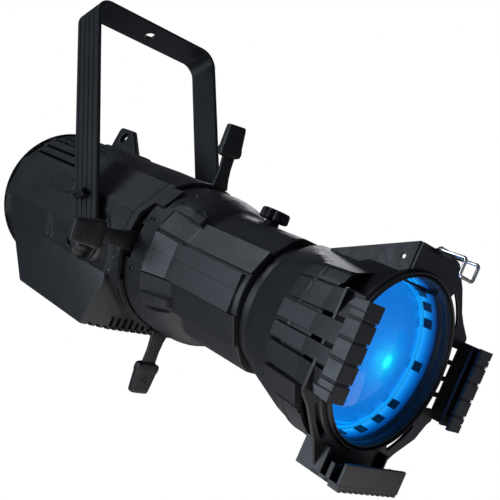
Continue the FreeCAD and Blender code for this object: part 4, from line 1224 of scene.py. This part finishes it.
# ---------------------------------------------------------------- nodes carried over from the frame
slots = {s["node"]: s["material_slot"] for s in frame["record"]["subparts"]}
for name, obj in frame["nodes"].items():
    obj.data.materials.clear()
    # The rear and condenser lenses take the lens material with painted glow.
    obj.data.materials.append(MAT["lens_inner" if name in ("rear_lens", "condenser_lens") else slots[name]])
    b = obj.modifiers.new("edge", 'BEVEL')
    b.width = 0.0003
    b.segments = 2
    b.limit_method = 'ANGLE'
    b.angle_limit = math.radians(40)
    b.harden_normals = False


# ---------------------------------------------------------------- stage, light and camera
def stage_floor():
    v = [(-6, -6, -0.75), (6, -6, -0.75), (6, 6, -0.75), (-6, 6, -0.75)]
    me = bpy.data.meshes.new("floor")
    me.from_pydata(v, [], [(0, 1, 2, 3)])
    o = linked("floor", me)
    m, nt, p = tree("floor")
    nt.links.new(ramp(nt, noise(nt, 2.0), [(0.3, 0.86), (0.7, 0.9)]), p.inputs["Base Color"])
    p.inputs["Roughness"].default_value = 0.6
    me.materials.append(m)


def area(name, place, target, size, power, colour=(1, 1, 1)):
    light = bpy.data.lights.new(name, 'AREA')
    light.shape = 'RECTANGLE'
    light.size, light.size_y = size
    light.energy = power
    light.color = colour
    o = linked(name, light)
    o.location = place
    o.visible_camera = False
    o.rotation_euler = (Vector(target) - Vector(place)).to_track_quat('-Z', 'Y').to_euler()
    return o


CENTRE = (0.1, 0, -0.33)
stage_floor()
area("key", (-0.1, -1.0, 1.3), CENTRE, (0.5, 0.5), 5.5, (0.86, 0.92, 1.0))
area("left", (-0.45, -1.45, -0.12), (0.2, 0, -0.4), (0.42, 1.1), 9.5, (0.76, 0.87, 1.0))
area("rim", (-0.3, 1.3, 0.9), CENTRE, (0.9, 0.3), 4, (0.95, 0.97, 1.0))
area("bounce", (0.08, -0.1, -0.73), (0.08, -0.1, 0.0), (0.8, 0.8), 1.5, (1.0, 0.90, 0.84))
world = bpy.data.worlds.new("world")
bpy.context.scene.world = world
world.use_nodes = True
wt = world.node_tree
sky = wt.nodes["Background"]
lp = wt.nodes.new("ShaderNodeLightPath")
dim = wt.nodes.new("ShaderNodeMapRange")
dim.inputs["To Min"].default_value = 0.09
dim.inputs["To Max"].default_value = 1.0
wt.links.new(lp.outputs["Is Camera Ray"], dim.inputs["Value"])
wt.links.new(dim.outputs["Result"], sky.inputs["Strength"])
hue = wt.nodes.new("ShaderNodeMix")
hue.data_type = 'RGBA'
hue.inputs[6].default_value = (0.72, 0.80, 1.0, 1)
hue.inputs[7].default_value = (1, 1, 1, 1)
wt.links.new(lp.outputs["Is Camera Ray"], hue.inputs[0])
wt.links.new(hue.outputs[2], sky.inputs["Color"])

cam_data = bpy.data.cameras.new("camera")
cam = linked("camera", cam_data)
cam_data.sensor_width = 36.0
cam_data.lens = 762.75 / 500 * 36.0
cam_data.clip_start = 0.01
az, el, rl = math.radians(42.21), math.radians(-17.66), math.radians(2.95)
back = Vector((math.sin(az) * math.cos(el), -math.cos(az) * math.cos(el), math.sin(el)))
right = Vector((0, 0, 1)).cross(back).normalized()
up = back.cross(right)
r2 = math.cos(rl) * right - math.sin(rl) * up
u2 = math.sin(rl) * right + math.cos(rl) * up
pose = Matrix((r2, u2, back)).transposed().to_4x4()
pose.translation = Vector((0.6268, -0.5289, -0.5457))
cam.matrix_world = pose
bpy.context.scene.camera = cam
bpy.context.scene.view_settings.view_transform = 'Standard'
